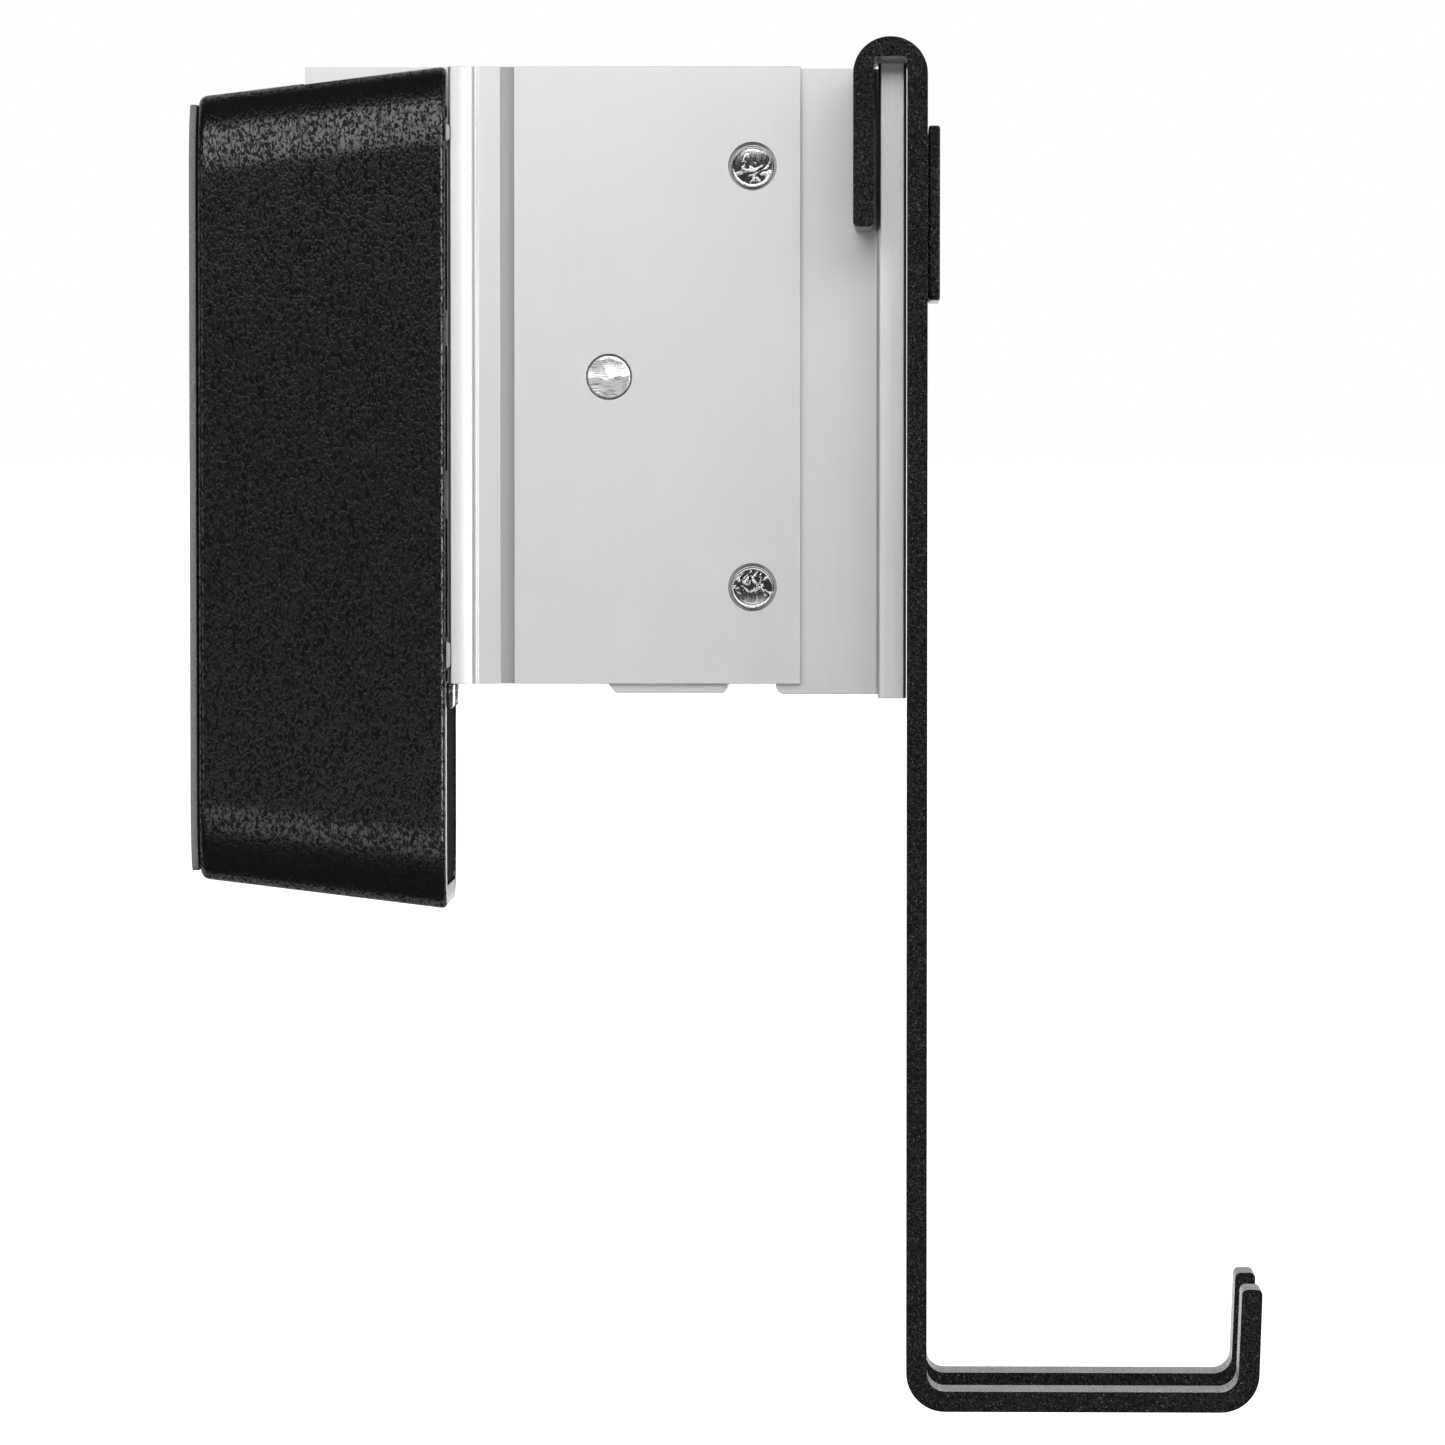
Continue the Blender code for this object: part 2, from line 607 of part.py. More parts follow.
def make_spacer(material, parent):
    """A block between the channel's walls, stepped in beside the webs, with a tab below."""
    wide = CHANNEL_HALF_DEPTH - CHANNEL_WALL - GAP
    narrow = WEB_HALF_DEPTH - WEB_THICKNESS - GAP
    outline = mirrored([(SPACER_BACK_X, -wide), (SPACER_FRONT_X, -wide)])
    shape = prism(outline, "z", SPACER_TAB_BOTTOM, SPACER_TOP)
    spacer = finish("spacer", shape, material, parent, (RIVET_X, 0, RIVET_Z))
    front = SPACER_FRONT_X + CUT_MARGIN
    side = CHANNEL_HALF_DEPTH
    top = SPACER_TOP + CUT_MARGIN
    near_step = block((SPACER_STEP_X, -side, CHANNEL_BOTTOM), (front, -narrow, top))
    far_step = block((SPACER_STEP_X, narrow, CHANNEL_BOTTOM), (front, side, top))
    cut(spacer, near_step, "spacer_step_cut_near")
    cut(spacer, far_step, "spacer_step_cut_far")
    tab_top = CHANNEL_BOTTOM + GAP
    beyond = SPACER_TAB_BOTTOM - CUT_MARGIN
    corner = [
        (front, beyond),
        (front, SPACER_TAB_BOTTOM + SPACER_TAB_CORNER + CUT_MARGIN),
        (SPACER_FRONT_X - SPACER_TAB_CORNER - CUT_MARGIN, beyond),
    ]
    cut(spacer, prism(corner, "y", -side, side), "spacer_corner_cut")
    slant = [
        (SPACER_BACK_X - CUT_MARGIN, beyond),
        (SPACER_TAB_BACK_X + SPACER_TAB_SLANT, beyond),
        (SPACER_TAB_BACK_X, tab_top),
        (SPACER_BACK_X - CUT_MARGIN, tab_top),
    ]
    cut(spacer, prism(slant, "y", -CHANNEL_HALF_DEPTH, CHANNEL_HALF_DEPTH), "spacer_tab_cut")
    radius = RIVET_SHANK_RADIUS + GAP
    end = CHANNEL_HALF_DEPTH - RIVET_DEPTH - GAP
    for side, sign in (("near", -1), ("far", 1)):
        profile = [(sign * end, radius), (sign * CHANNEL_HALF_DEPTH, radius)]
        bore = turned(profile, SCREW_SIDES, "y", (RIVET_X, 0, RIVET_Z))
        cut(spacer, bore, f"spacer_rivet_cut_{side}")
    return spacer


def make_studs(material, parent):
    """A stud's head fills the channel wall's hole, and its shank is riveted through the web."""
    face = CHANNEL_HALF_DEPTH - STUD_SINK
    under = CHANNEL_HALF_DEPTH - CHANNEL_WALL
    inside = WEB_HALF_DEPTH - WEB_THICKNESS - GAP
    tail = inside - STUD_TAIL_HEIGHT
    profile = [
        (face, STUD_HEAD_RADIUS - HEAD_CHAMFER),
        (face - HEAD_CHAMFER_DEPTH, STUD_HEAD_RADIUS),
        (under, STUD_HEAD_RADIUS),
        (under, STUD_SHANK_RADIUS),
        (inside, STUD_SHANK_RADIUS),
        (inside, STUD_TAIL_RADIUS),
        (tail, STUD_TAIL_RADIUS - STUD_TAIL_TAPER),
    ]
    for side, sign in (("near", -1), ("far", 1)):
        placed = [(sign * distance, radius) for distance, radius in profile]
        for level, z in STUD_HEIGHTS.items():
            shape = turned(placed, HEAD_SIDES, "y", (STUD_X, 0, z))
            origin = (STUD_X, sign * face, z)
            finish(f"stud_{level}_{side}", shape, material, parent, origin)


def make_centre_rivets(material, parent):
    face = CHANNEL_HALF_DEPTH
    under = face - CHANNEL_WALL + RIVET_SEAT
    profile = [
        (face, RIVET_HEAD_RADIUS - HEAD_CHAMFER),
        (face - HEAD_CHAMFER_DEPTH, RIVET_HEAD_RADIUS),
        (under, RIVET_HEAD_RADIUS),
        (under, RIVET_SHANK_RADIUS),
        (face - RIVET_DEPTH, RIVET_SHANK_RADIUS),
    ]
    for side, sign in (("near", -1), ("far", 1)):
        placed = [(sign * distance, radius) for distance, radius in profile]
        shape = turned(placed, HEAD_SIDES, "y", (RIVET_X, 0, RIVET_Z))
        origin = (RIVET_X, sign * face, RIVET_Z)
        finish(f"centre_rivet_{side}", shape, material, parent, origin)


# ---------------------------------------------------------------- hook


def hook_outline():
    """The bent strip seen from the side, as (x, z, radius) corners."""
    return rounded_outline(
        [
            (HOOK_BACK_X, HOOK_SHORT_LEG_END, TIP_CORNER),
            (HOOK_BACK_X, HOOK_TOP, HOOK_TOP_RADIUS),
            (LEG_FRONT_X, HOOK_TOP, HOOK_TOP_RADIUS),
            (LEG_FRONT_X, HOOK_BOTTOM + STRIP, BEND_RADIUS - STRIP),
            (HOOK_BEND_X - STRIP, HOOK_BOTTOM + STRIP, BEND_RADIUS - STRIP),
            (HOOK_TIP_X - STRIP, HOOK_TIP_Z, TIP_CORNER),
            (HOOK_TIP_X, HOOK_TIP_Z, TIP_CORNER),
            (HOOK_BEND_X, HOOK_BOTTOM, BEND_RADIUS),
            (LEG_BACK_X, HOOK_BOTTOM, BEND_RADIUS),
            (LEG_BACK_X, HOOK_SLOT_TOP, SLOT_CORNER),
            (SLOT_BACK_X, HOOK_SLOT_TOP, SLOT_CORNER),
            (SLOT_BACK_X, HOOK_SHORT_LEG_END, TIP_CORNER),
        ]
    )


def make_hook(material, parent):
    shape = prism(hook_outline(), "y", HOOK_NEAR_Y, HOOK_FAR_Y)
    hook = finish("hook", shape, material, parent, HOOK_ORIGIN)
    half = FORK_GAP / 2
    below = HOOK_BOTTOM - CUT_MARGIN
    corners = [
        (HOOK_MIDDLE_Y - half, below, 0),
        (HOOK_MIDDLE_Y + half, below, 0),
        (HOOK_MIDDLE_Y + half, FORK_TOP, FORK_CORNER),
        (HOOK_MIDDLE_Y - half, FORK_TOP, FORK_CORNER),
    ]
    start = LEG_BACK_X - CUT_MARGIN
    fork = prism(rounded_outline(corners), "x", start, LEG_FRONT_X + CUT_MARGIN)
    cut(hook, fork, "fork_upper_cut")
    low = (LEG_FRONT_X, HOOK_MIDDLE_Y - half, below)
    high = (HOOK_TIP_X + CUT_MARGIN, HOOK_MIDDLE_Y + half, HOOK_TIP_Z + CUT_MARGIN)
    cut(hook, block(low, high), "fork_gap_cut")
    return hook


def make_front_plate(material, parent):
    back_x = LEG_FRONT_X + PLATE_GAP
    half = PLATE_WIDTH / 2
    y = HOOK_NEAR_Y + PLATE_SETBACK + half
    corners = [
        (y - half, PLATE_BOTTOM, PLATE_CORNER),
        (y + half, PLATE_BOTTOM, PLATE_CORNER),
        (y + half, PLATE_TOP, PLATE_CORNER),
        (y - half, PLATE_TOP, PLATE_CORNER),
    ]
    shape = prism(rounded_outline(corners), "x", back_x, back_x + PLATE_THICKNESS)
    middle = (PLATE_TOP + PLATE_BOTTOM) / 2
    plate = finish("front_plate", shape, material, parent, (back_x, y, middle))
    edge_break = plate.modifiers.new("edge_break", "BEVEL")
    edge_break.width = PLATE_EDGE
    edge_break.segments = 1
    edge_break.limit_method = "ANGLE"
    edge_break.angle_limit = math.radians(40)
    return plate


# ---------------------------------------------------------------- assembly


def make_empty(name, location, parent=None):
    empty = bpy.data.objects.new(name, None)
    bpy.context.scene.collection.objects.link(empty)
    empty.location = location
    empty.parent = parent
    return empty


def main():
    for item in list(bpy.data.objects):
        bpy.data.objects.remove(item, do_unlink=True)

    grained_black = make_material("grained_black_plastic", (0.013, 0.013, 0.014), 0.55, 0.0)
    grey_foam = make_material("grey_foam_tape", (0.42, 0.42, 0.43), 0.85, 0.0)
    pale_plastic = make_material("pale_grey_plastic", (0.50, 0.50, 0.51), 0.45, 0.0)
    satin_aluminium = make_material("satin_aluminium", (0.70, 0.70, 0.71), 0.38, 1.0)
    cast_zinc = make_material("cast_zinc", (0.36, 0.36, 0.38), 0.55, 1.0)
    bright_steel = make_material("bright_steel", (0.62, 0.62, 0.63), 0.22, 1.0)
    black_coat = make_material("black_powder_coat", (0.015, 0.015, 0.016), 0.5, 0.0)

    bracket = make_empty("bracket", (0, 0, 0))
    make_adhesive_pad(grey_foam, bracket)
    make_housing_shell(grained_black, bracket)
    make_face_plate(grained_black, bracket)
    make_latch_tongues(pale_plastic, bracket)
    make_clips(bright_steel, bracket)
    make_anchor_block(cast_zinc, bracket)
    make_housing_screws(bright_steel, bracket)
    make_channel(satin_aluminium, bracket)
    make_rail_profile(satin_aluminium, bracket)
    make_spacer(satin_aluminium, bracket)
    make_studs(bright_steel, bracket)
    make_centre_rivets(bright_steel, bracket)

    slide = make_empty("hook_slide", HOOK_ORIGIN)
    make_hook(black_coat, slide)
    make_front_plate(black_coat, slide)


if __name__ == "__main__":
    main()
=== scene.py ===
"""A headphone hook of bent flat steel, hung on the rail plate of an aluminium panel bracket.

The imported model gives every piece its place. The add-on below gives each one its finished
shape and its material, and sets up a plain studio. +X points out from the panel, +Z up and
+Y along the rail. All sizes are in metres.
"""

import json
import math
from functools import partial

import bmesh
import bpy
from bpy.props import FloatProperty, FloatVectorProperty, IntProperty, PointerProperty
from mathutils import Matrix, Vector

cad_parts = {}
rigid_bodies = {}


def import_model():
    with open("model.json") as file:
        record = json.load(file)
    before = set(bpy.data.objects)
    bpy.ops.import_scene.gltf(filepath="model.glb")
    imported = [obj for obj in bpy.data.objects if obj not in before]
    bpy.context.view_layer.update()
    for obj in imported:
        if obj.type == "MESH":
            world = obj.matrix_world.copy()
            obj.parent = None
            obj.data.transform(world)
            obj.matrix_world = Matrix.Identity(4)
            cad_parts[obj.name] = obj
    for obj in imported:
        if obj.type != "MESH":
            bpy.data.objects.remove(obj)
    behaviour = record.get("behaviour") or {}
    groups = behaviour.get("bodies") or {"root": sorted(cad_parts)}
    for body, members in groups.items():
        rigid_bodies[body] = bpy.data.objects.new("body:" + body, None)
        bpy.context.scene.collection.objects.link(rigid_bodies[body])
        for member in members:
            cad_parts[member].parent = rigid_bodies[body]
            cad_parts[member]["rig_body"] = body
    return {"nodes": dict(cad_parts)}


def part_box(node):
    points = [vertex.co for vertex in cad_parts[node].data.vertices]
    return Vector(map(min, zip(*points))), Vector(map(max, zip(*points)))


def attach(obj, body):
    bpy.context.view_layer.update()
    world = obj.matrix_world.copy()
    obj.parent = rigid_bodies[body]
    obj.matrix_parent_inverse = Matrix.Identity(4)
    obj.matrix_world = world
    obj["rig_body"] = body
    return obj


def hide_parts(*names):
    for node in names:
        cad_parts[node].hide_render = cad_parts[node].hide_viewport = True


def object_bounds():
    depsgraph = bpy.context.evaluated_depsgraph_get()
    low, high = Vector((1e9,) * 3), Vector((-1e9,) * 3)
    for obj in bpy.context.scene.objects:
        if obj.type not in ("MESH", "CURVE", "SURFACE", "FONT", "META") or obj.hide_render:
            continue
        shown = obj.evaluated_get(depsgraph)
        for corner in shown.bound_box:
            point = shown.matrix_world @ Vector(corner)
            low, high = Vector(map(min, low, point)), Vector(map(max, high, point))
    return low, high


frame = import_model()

bl_info = {
    "name": "Headphone Hook",
    "version": (1, 0, 0),
    "blender": (4, 5, 0),
    "location": "View3D > Sidebar > Headphone Hook",
    "description": "Makes a bent steel headphone hook on its rail bracket",
    "category": "Add Mesh",
}

PACKED_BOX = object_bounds()
MERGE = 1e-6  # corners closer than this are one
SMOOTH_ANGLE = math.radians(32)  # sharper edges than this stay sharp
FLAT_ANGLE = math.radians(0.5)  # faces that turn less than this are one flat face
CORNERS = ((1, 1), (-1, 1), (-1, -1), (1, -1))  # sides of each corner, turning from +Y to +Z

# The studio's lights, all at one distance: direction from the object, width, height, power.
LIGHT_DISTANCE = 2.0
LIGHTS = {
    "front_softbox": ((0.0, -1.0, 0.415), 2.4, 0.92, 17.5),
    "low_front_reflector": ((0.0, -1.0, -0.23), 2.4, 0.52, 4.2),
    "left_softbox": ((-1.0, -0.75, 0.10), 0.8, 1.0, 2.5),
    "right_softbox": ((1.0, -0.80, 0.10), 1.0, 1.2, 20.0),
}
SENSOR_WIDTH = 36.0  # in millimetres
CLIP_START = 0.05
CLIP_END = 200.0


# ---- settings


def length(text, default):
    return FloatProperty(description=text, default=default, min=0.0, unit="LENGTH", precision=5)


def paint(text, default):
    return FloatVectorProperty(
        description=text, default=default, subtype="COLOR", size=3, min=0.0, max=1.0
    )


def share(text, default):
    return FloatProperty(description=text, default=default, min=0.0, max=1.0, subtype="FACTOR")


def count(text, default):
    return IntProperty(description=text, default=default, min=1)


class HookSettings(bpy.types.PropertyGroup):
    """The bent strip and its front plate."""

    strip: length("Thickness of the flat steel", 0.0030)
    slot: length("Width of the slot over the rail plate", 0.0049)
    crown: length("Height of the steel over the slot", 0.0029)
    short_leg: length("Height of the short leg below the hook's top", 0.0277)
    crown_radius: length("Outer radius over the rail plate", 0.0054)
    slot_radius: length("Corner radius at the slot's top", 0.0006)
    bend_radius: length("Outer radius of the two lower bends", 0.0057)
    tip_height: length("Height of the upturned tips over the bottom", 0.0181)
    tip_lean: length("How far the tips lean outwards", 0.0006)
    tip_radius: length("Corner radius of the strip's cut ends", 0.0008)
    fork_gap: length("Width between the two arms", 0.0146)
    fork_height: length("Height of the fork's upper end over the bottom", 0.0111)
    fork_radius: length("Corner radius of the fork's upper end", 0.0030)
    edge: length("Rounding of the strip's edges", 0.00032)
    bend_steps: count("Straight pieces in each bend", 12)
    plate_radius: length("Corner radius of the front plate", 0.0010)
    plate_edge: length("Rounding of the front plate's edges", 0.00035)
    coat: paint("Colour of the wrinkle powder coat", (0.0055, 0.0055, 0.0058))
    # Colour of the painted glints: pale colour on the wrinkle crests that stands in for their
    # sparkle.
    coat_painted_glint: paint("Colour of the coat's paler flecks", (0.13, 0.13, 0.132))


class HousingSettings(bpy.types.PropertyGroup):
    """The moulded housing and what closes it."""

    back_half_height: length("Half height at the panel", 0.0588)
    back_half_depth: length("Half depth at the panel", 0.0134)
    corner_height: length("Height of the rounded ends", 0.0125)
    corner_depth: length("Depth of the rounded ends", 0.0045)
    back_edge: length("Rounding of the edge at the panel", 0.0012)
    lip: length("Rounding of the front edge", 0.0009)
    wall: length("Wall thickness", 0.0034)
    back_wall: length("Wall thickness at the panel", 0.0030)
    opening_depth: length("How far the channel's opening cuts down", 0.0100)
    gap: length("Play between neighbouring pieces", 0.0003)
    corner_steps: count("Straight pieces in each rounded end", 30)
    plastic: paint("Colour of the grained plastic", (0.0070, 0.0070, 0.0073))
    foam: paint("Colour of the adhesive pad", (0.36, 0.36, 0.37))
    pale_plastic: paint("Colour of the latch tongues", (0.52, 0.52, 0.53))


class MetalSettings(bpy.types.PropertyGroup):
    """The extrusions, studs, rivets, screws and clips."""

    extrusion_edge: length("Edge break of the aluminium pieces", 0.00012)
    trim_edge: length("Edge break of the small trim pieces", 0.00010)
    rib_height: length("How far the channel's ribs stand out", 0.0006)
    groove_back: length("Where the channel's groove starts", 0.04665)
    groove_front: length("Where the channel's groove ends", 0.04880)
    groove_depth: length("Depth of the channel's groove", 0.0010)
    stud_rim: length("Width of the raised rim of a stud's head", 0.00030)
    stud_hollow: length("Depth of a stud's face below its rim", 0.00012)
    rivet_dome: length("Sets the low dome and rounded rim of a centre rivet's head", 0.00012)
    head_thickness: length("Thickness of a stud's or centre rivet's head", 0.0012)
    shank_radius: length("Radius of the shank of a stud, rivet or screw", 0.0020)
    stud_shank: length("Length of a stud's shank", 0.0026)
    tail_radius: length("Radius of a stud's riveted tail", 0.0029)
    screw_head: length("Height of a screw's head", 0.0016)
    thread_pitch: length("From one thread of a screw to the next", 0.0007)
    thread_root: share("Root radius of a thread over its shank's radius", 0.84)
    round_steps: count("Sides of a turned piece", 56)
    aluminium: paint("Colour of the anodised extrusions", (0.80, 0.80, 0.805))
    stud_play: length("Play around a stud's head in its hole", 0.00055)
    # Near black as painted shade: the shadow down in the studs' holes.
    bore: paint("Colour of the inside of the studs' holes", (0.010, 0.010, 0.010))
    # Paler than the extrusion as painted light on the rail plate's end faces.
    milled: paint("Colour of the rail plate's milled ends", (0.97, 0.97, 0.97))
    # Darker than the extrusion as painted shade down in the groove.
    groove: paint("Colour of the aluminium down in the groove", (0.50, 0.50, 0.505))
    steel: paint("Colour of the plated studs and rivets", (0.78, 0.78, 0.785))
    screw: paint("Colour of the zinc-plated screws", (0.48, 0.48, 0.50))
    casting: paint("Colour of the cast anchor block", (0.36, 0.36, 0.38))


class StageSettings(bpy.types.PropertyGroup):
    """The floor, the lights and the camera."""

    floor_drop: length("Height of the object over the floor", 0.16)
    floor_radius: length("Radius of the floor", 60.0)
    floor_front: length("How far the floor reaches in front of the object", 0.05)
    floor: paint("Colour of the floor", (0.93, 0.93, 0.93))
    camera_distance: length("From the hook's near edge to the camera", 1.08)
    camera_share: share("Where the camera stands between the hook's back and its tips", 0.115)
    camera_height: length("Height of the camera over the origin", 0.0072)
    aim_out: length("How far out from the panel the camera aims", 0.0807)
    aim_drop: length("How far below the origin the camera aims", 0.0340)
    lens: FloatProperty(description="Focal length on a 36 mm sensor", default=184.3, unit="CAMERA")
    glow: share("Glow of the world in front of the object", 0.03)


SETTINGS = {
    "headphone_hook_strip": HookSettings,
    "headphone_hook_housing": HousingSettings,
    "headphone_hook_metal": MetalSettings,
    "headphone_hook_stage": StageSettings,
}


# ---- node trees


def add(tree, kind, values=None, **choices):
    """Adds a node. Each value is a number or another node's output, by input name or place."""
    node = tree.nodes.new(kind)
    for name, choice in choices.items():
        setattr(node, name, choice)
    for key, value in (values or {}).items():
        if isinstance(value, bpy.types.NodeSocket):
            tree.links.new(value, node.inputs[key])
        else:
            node.inputs[key].default_value = value
    return node


def made(tree, kind, values=None, **choices):
    """Adds a node and returns its first output."""
    return add(tree, kind, values, **choices).outputs[0]


def maths(tree, operation, first, second=0.0):
    return made(tree, "ShaderNodeMath", {0: first, 1: second}, operation=operation)


def point(tree, x, y, z=0.0):
    return made(tree, "ShaderNodeCombineXYZ", {0: x, 1: y, 2: z})


def geometry_tree(name, inputs):
    """A geometry tree with named inputs, as {name: socket type}. The geometry comes first."""
    tree = bpy.data.node_groups.new(name, "GeometryNodeTree")
    tree.interface.new_socket("Geometry", in_out="INPUT", socket_type="NodeSocketGeometry")
    for title, kind in inputs.items():
        tree.interface.new_socket(title, in_out="INPUT", socket_type=kind)
    tree.interface.new_socket("Geometry", in_out="OUTPUT", socket_type="NodeSocketGeometry")
    return tree, tree.nodes.new("NodeGroupInput").outputs


def join(tree, *parts):
    node = tree.nodes.new("GeometryNodeJoinGeometry")
    for part in parts:
        tree.links.new(part, node.inputs[0])
    return node.outputs[0]


def end_tree(tree, geometry, material):
    """Ends a tree: the instances are made real, and the material is put on them."""
    real = made(tree, "GeometryNodeRealizeInstances", {0: geometry})
    smoothed = made(tree, "GeometryNodeSetShadeSmooth", {0: real})
    values = {"Geometry": smoothed, "Material": material}
    coated = made(tree, "GeometryNodeSetMaterial", values)
    add(tree, "NodeGroupOutput", {0: coated})


def run_tree(name, tree, values, mesh=None, edge=0.0):
    """Runs a tree on a mesh, rounds its edges, and returns the result as a plain mesh object."""
    source = linked(name + "_source", mesh or bpy.data.meshes.new(name))
    modifier = source.modifiers.new("shape", "NODES")
    modifier.node_group = tree
    for item in tree.interface.items_tree:
        if item.in_out == "INPUT" and item.name in values:
            modifier[item.identifier] = values[item.name]
    if edge:
        round_edges(source, edge)
    return settle(source, name, even=edge > 0)


def settle(source, name, even=True):
    """Replaces an object and its modifiers with a plain mesh object of that name."""
    if even:
        source.data.shade_smooth()
        modifier = source.modifiers.new("even_shading", "WEIGHTED_NORMAL")
        modifier.mode = "FACE_AREA"
        modifier.weight = 100
    bpy.context.view_layer.update()
    evaluated = source.evaluated_get(bpy.context.evaluated_depsgraph_get())
    mesh = bpy.data.meshes.new_from_object(evaluated)
    bpy.data.objects.remove(source, do_unlink=True)
    if not mesh.polygons:
        raise RuntimeError(f"{name} came out empty")
    mesh.name = name
    return linked(name, mesh)


# ---- mesh helpers


def linked(name, data):
    """A new object of that data, linked to the scene."""
    item = bpy.data.objects.new(name, data)
    bpy.context.scene.collection.objects.link(item)
    return item


def mesh_of(name, shape):
    """A mesh of a bmesh, which it frees."""
    mesh = bpy.data.meshes.new(name)
    shape.to_mesh(mesh)
    shape.free()
    return mesh


def object_of(name, shape):
    """An object of a bmesh that is already in place."""
    return linked(name, mesh_of(name, shape))


def round_edges(source, width, segments=3, angle=40):
    modifier = source.modifiers.new("edge", "BEVEL")
    modifier.width = width
    modifier.segments = segments
    modifier.limit_method = "ANGLE"
    modifier.angle_limit = math.radians(angle)
    modifier.use_clamp_overlap = True
    modifier.miter_outer = "MITER_ARC"


def place(piece, nodes, material):
    """Gives a finished piece its material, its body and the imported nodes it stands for."""
    if material.name not in [held.name for held in piece.data.materials if held]:
        piece.data.materials.clear()
        piece.data.materials.append(material)
    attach(piece, frame["nodes"][nodes[0]]["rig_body"])
    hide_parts(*nodes)
    return piece


def merged_copy(node, name):
    """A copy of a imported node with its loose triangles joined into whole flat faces."""
    shape = bmesh.new()
    shape.from_mesh(frame["nodes"][node].data)
    bmesh.ops.remove_doubles(shape, verts=shape.verts, dist=MERGE)
    bmesh.ops.dissolve_limit(shape, angle_limit=FLAT_ANGLE, verts=shape.verts, edges=shape.edges)
    return object_of(name, shape)


def finished_copy(node, name, edge, material):
    """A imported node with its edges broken, as a piece of its own."""
    source = merged_copy(node, name + "_source")
    round_edges(source, edge, segments=2, angle=30)
    return place(settle(source, name), [node], material)


def join_rings(shape, rings):
    """Joins rings of corners into a closed skin, and closes both ends."""
    size = len(rings[0])
    for lower, upper in zip(rings, rings[1:]):
        for n in range(size):
            m = (n + 1) % size
            shape.faces.new((lower[n], lower[m], upper[m], upper[n]))
    shape.faces.new(rings[0][::-1])
    shape.faces.new(rings[-1])
    bmesh.ops.recalc_face_normals(shape, faces=shape.faces)


def box_shape(low, high):
    shape = bmesh.new()
    size = Vector(high) - Vector(low)
    middle = (Vector(high) + Vector(low)) / 2
    matrix = Matrix.Translation(middle) @ Matrix.Diagonal((*size, 1))
    bmesh.ops.create_cube(shape, size=1.0, matrix=matrix)
    return shape


def rounded_outline(middle, reach, corner, steps):
    """(y, z) points round a box with rounded corners, whose centres are at the given reach."""
    outline = []
    for quarter, (side_y, side_z) in enumerate(CORNERS):
        for step in range(steps + 1):
            angle = math.pi / 2 * (quarter + step / steps)
            y = middle[0] + side_y * reach[0] + corner[0] * math.cos(angle)
            z = middle[1] + side_z * reach[1] + corner[1] * math.sin(angle)
            outline.append((y, z))
    return outline


def ringed_solid(sections):
    """A closed solid of outlines, each given as (x, points)."""
    shape = bmesh.new()
    rings = [[shape.verts.new((x, y, z)) for y, z in outline] for x, outline in sections]
    join_rings(shape, rings)
    return shape


def turned(profile, sides):
    """A solid of (radius, height) pairs turned about Z, with poles where the radius is nought."""
    shape = bmesh.new()
    rings = []
    for radius, height in profile:
        if radius == 0:
            rings.append([shape.verts.new((0, 0, height))] * sides)
            continue
        ring = []
        for n in range(sides):
            angle = 2 * math.pi * n / sides
            spot = (radius * math.cos(angle), radius * math.sin(angle), height)
            ring.append(shape.verts.new(spot))
        rings.append(ring)
    for lower, upper in zip(rings, rings[1:]):
        for n in range(sides):
            m = (n + 1) % sides
            corners = []
            for vert in (lower[n], lower[m], upper[m], upper[n]):
                if vert not in corners:
                    corners.append(vert)
            shape.faces.new(corners)
    for ring in (rings[0], rings[-1]):
        if ring[0] is not ring[1]:
            shape.faces.new(ring)
    bmesh.ops.recalc_face_normals(shape, faces=shape.faces)
    return shape


def subtract(source, shape, name):
    """Cuts a bmesh from an object, which keeps the cutter until it settles."""
    bmesh.ops.recalc_face_normals(shape, faces=shape.faces)
    cutter = object_of(name, shape)
    cutter.hide_render = True
    modifier = source.modifiers.new(name, "BOOLEAN")
    modifier.operation = "DIFFERENCE"
    modifier.solver = "EXACT"
    modifier.object = cutter
    return cutter


# ---- materials


SHADER_INPUTS = {
    "colour": "Base Color",
    "roughness": "Roughness",
    "normal": "Normal",
    "specular": "Specular IOR Level",
}


def new_material(name, colour, metallic):
    material = bpy.data.materials.new(name)
    material.use_nodes = True
    tree = material.node_tree
    shader = tree.nodes["Principled BSDF"]
    shader.inputs["Base Color"].default_value = (*colour, 1.0)
    shader.inputs["Metallic"].default_value = metallic
    return material, tree, shader


def wire(tree, shader, **outputs):
    """Links outputs to the shader, each under one of the names in SHADER_INPUTS."""
    for name, output in outputs.items():
        tree.links.new(output, shader.inputs[SHADER_INPUTS[name]])


def on_piece(tree, stretch=(1.0, 1.0, 1.0)):
    """The piece's own coordinates, stretched so that a pattern runs long one way."""
    place_of = add(tree, "ShaderNodeTexCoord").outputs["Object"]
    return made(tree, "ShaderNodeMapping", {"Vector": place_of, "Scale": stretch})


def grain(tree, vector, per_metre, detail=2.0, roughness=0.5, distortion=0.0):
    values = {"Vector": vector, "Scale": per_metre, "Detail": detail}
    values.update({"Roughness": roughness, "Distortion": distortion})
    return add(tree, "ShaderNodeTexNoise", values).outputs["Fac"]


def remap(tree, value, low, high, to_low, to_high):
    values = {"Value": value, "From Min": low, "From Max": high, "To Min": to_low, "To Max": to_high}
    return made(tree, "ShaderNodeMapRange", values)


def blend_colours(tree, factor, first, second):
    values = {"Factor": factor, 6: (*first, 1.0), 7: (*second, 1.0)}
    return add(tree, "ShaderNodeMix", values, data_type="RGBA").outputs[2]


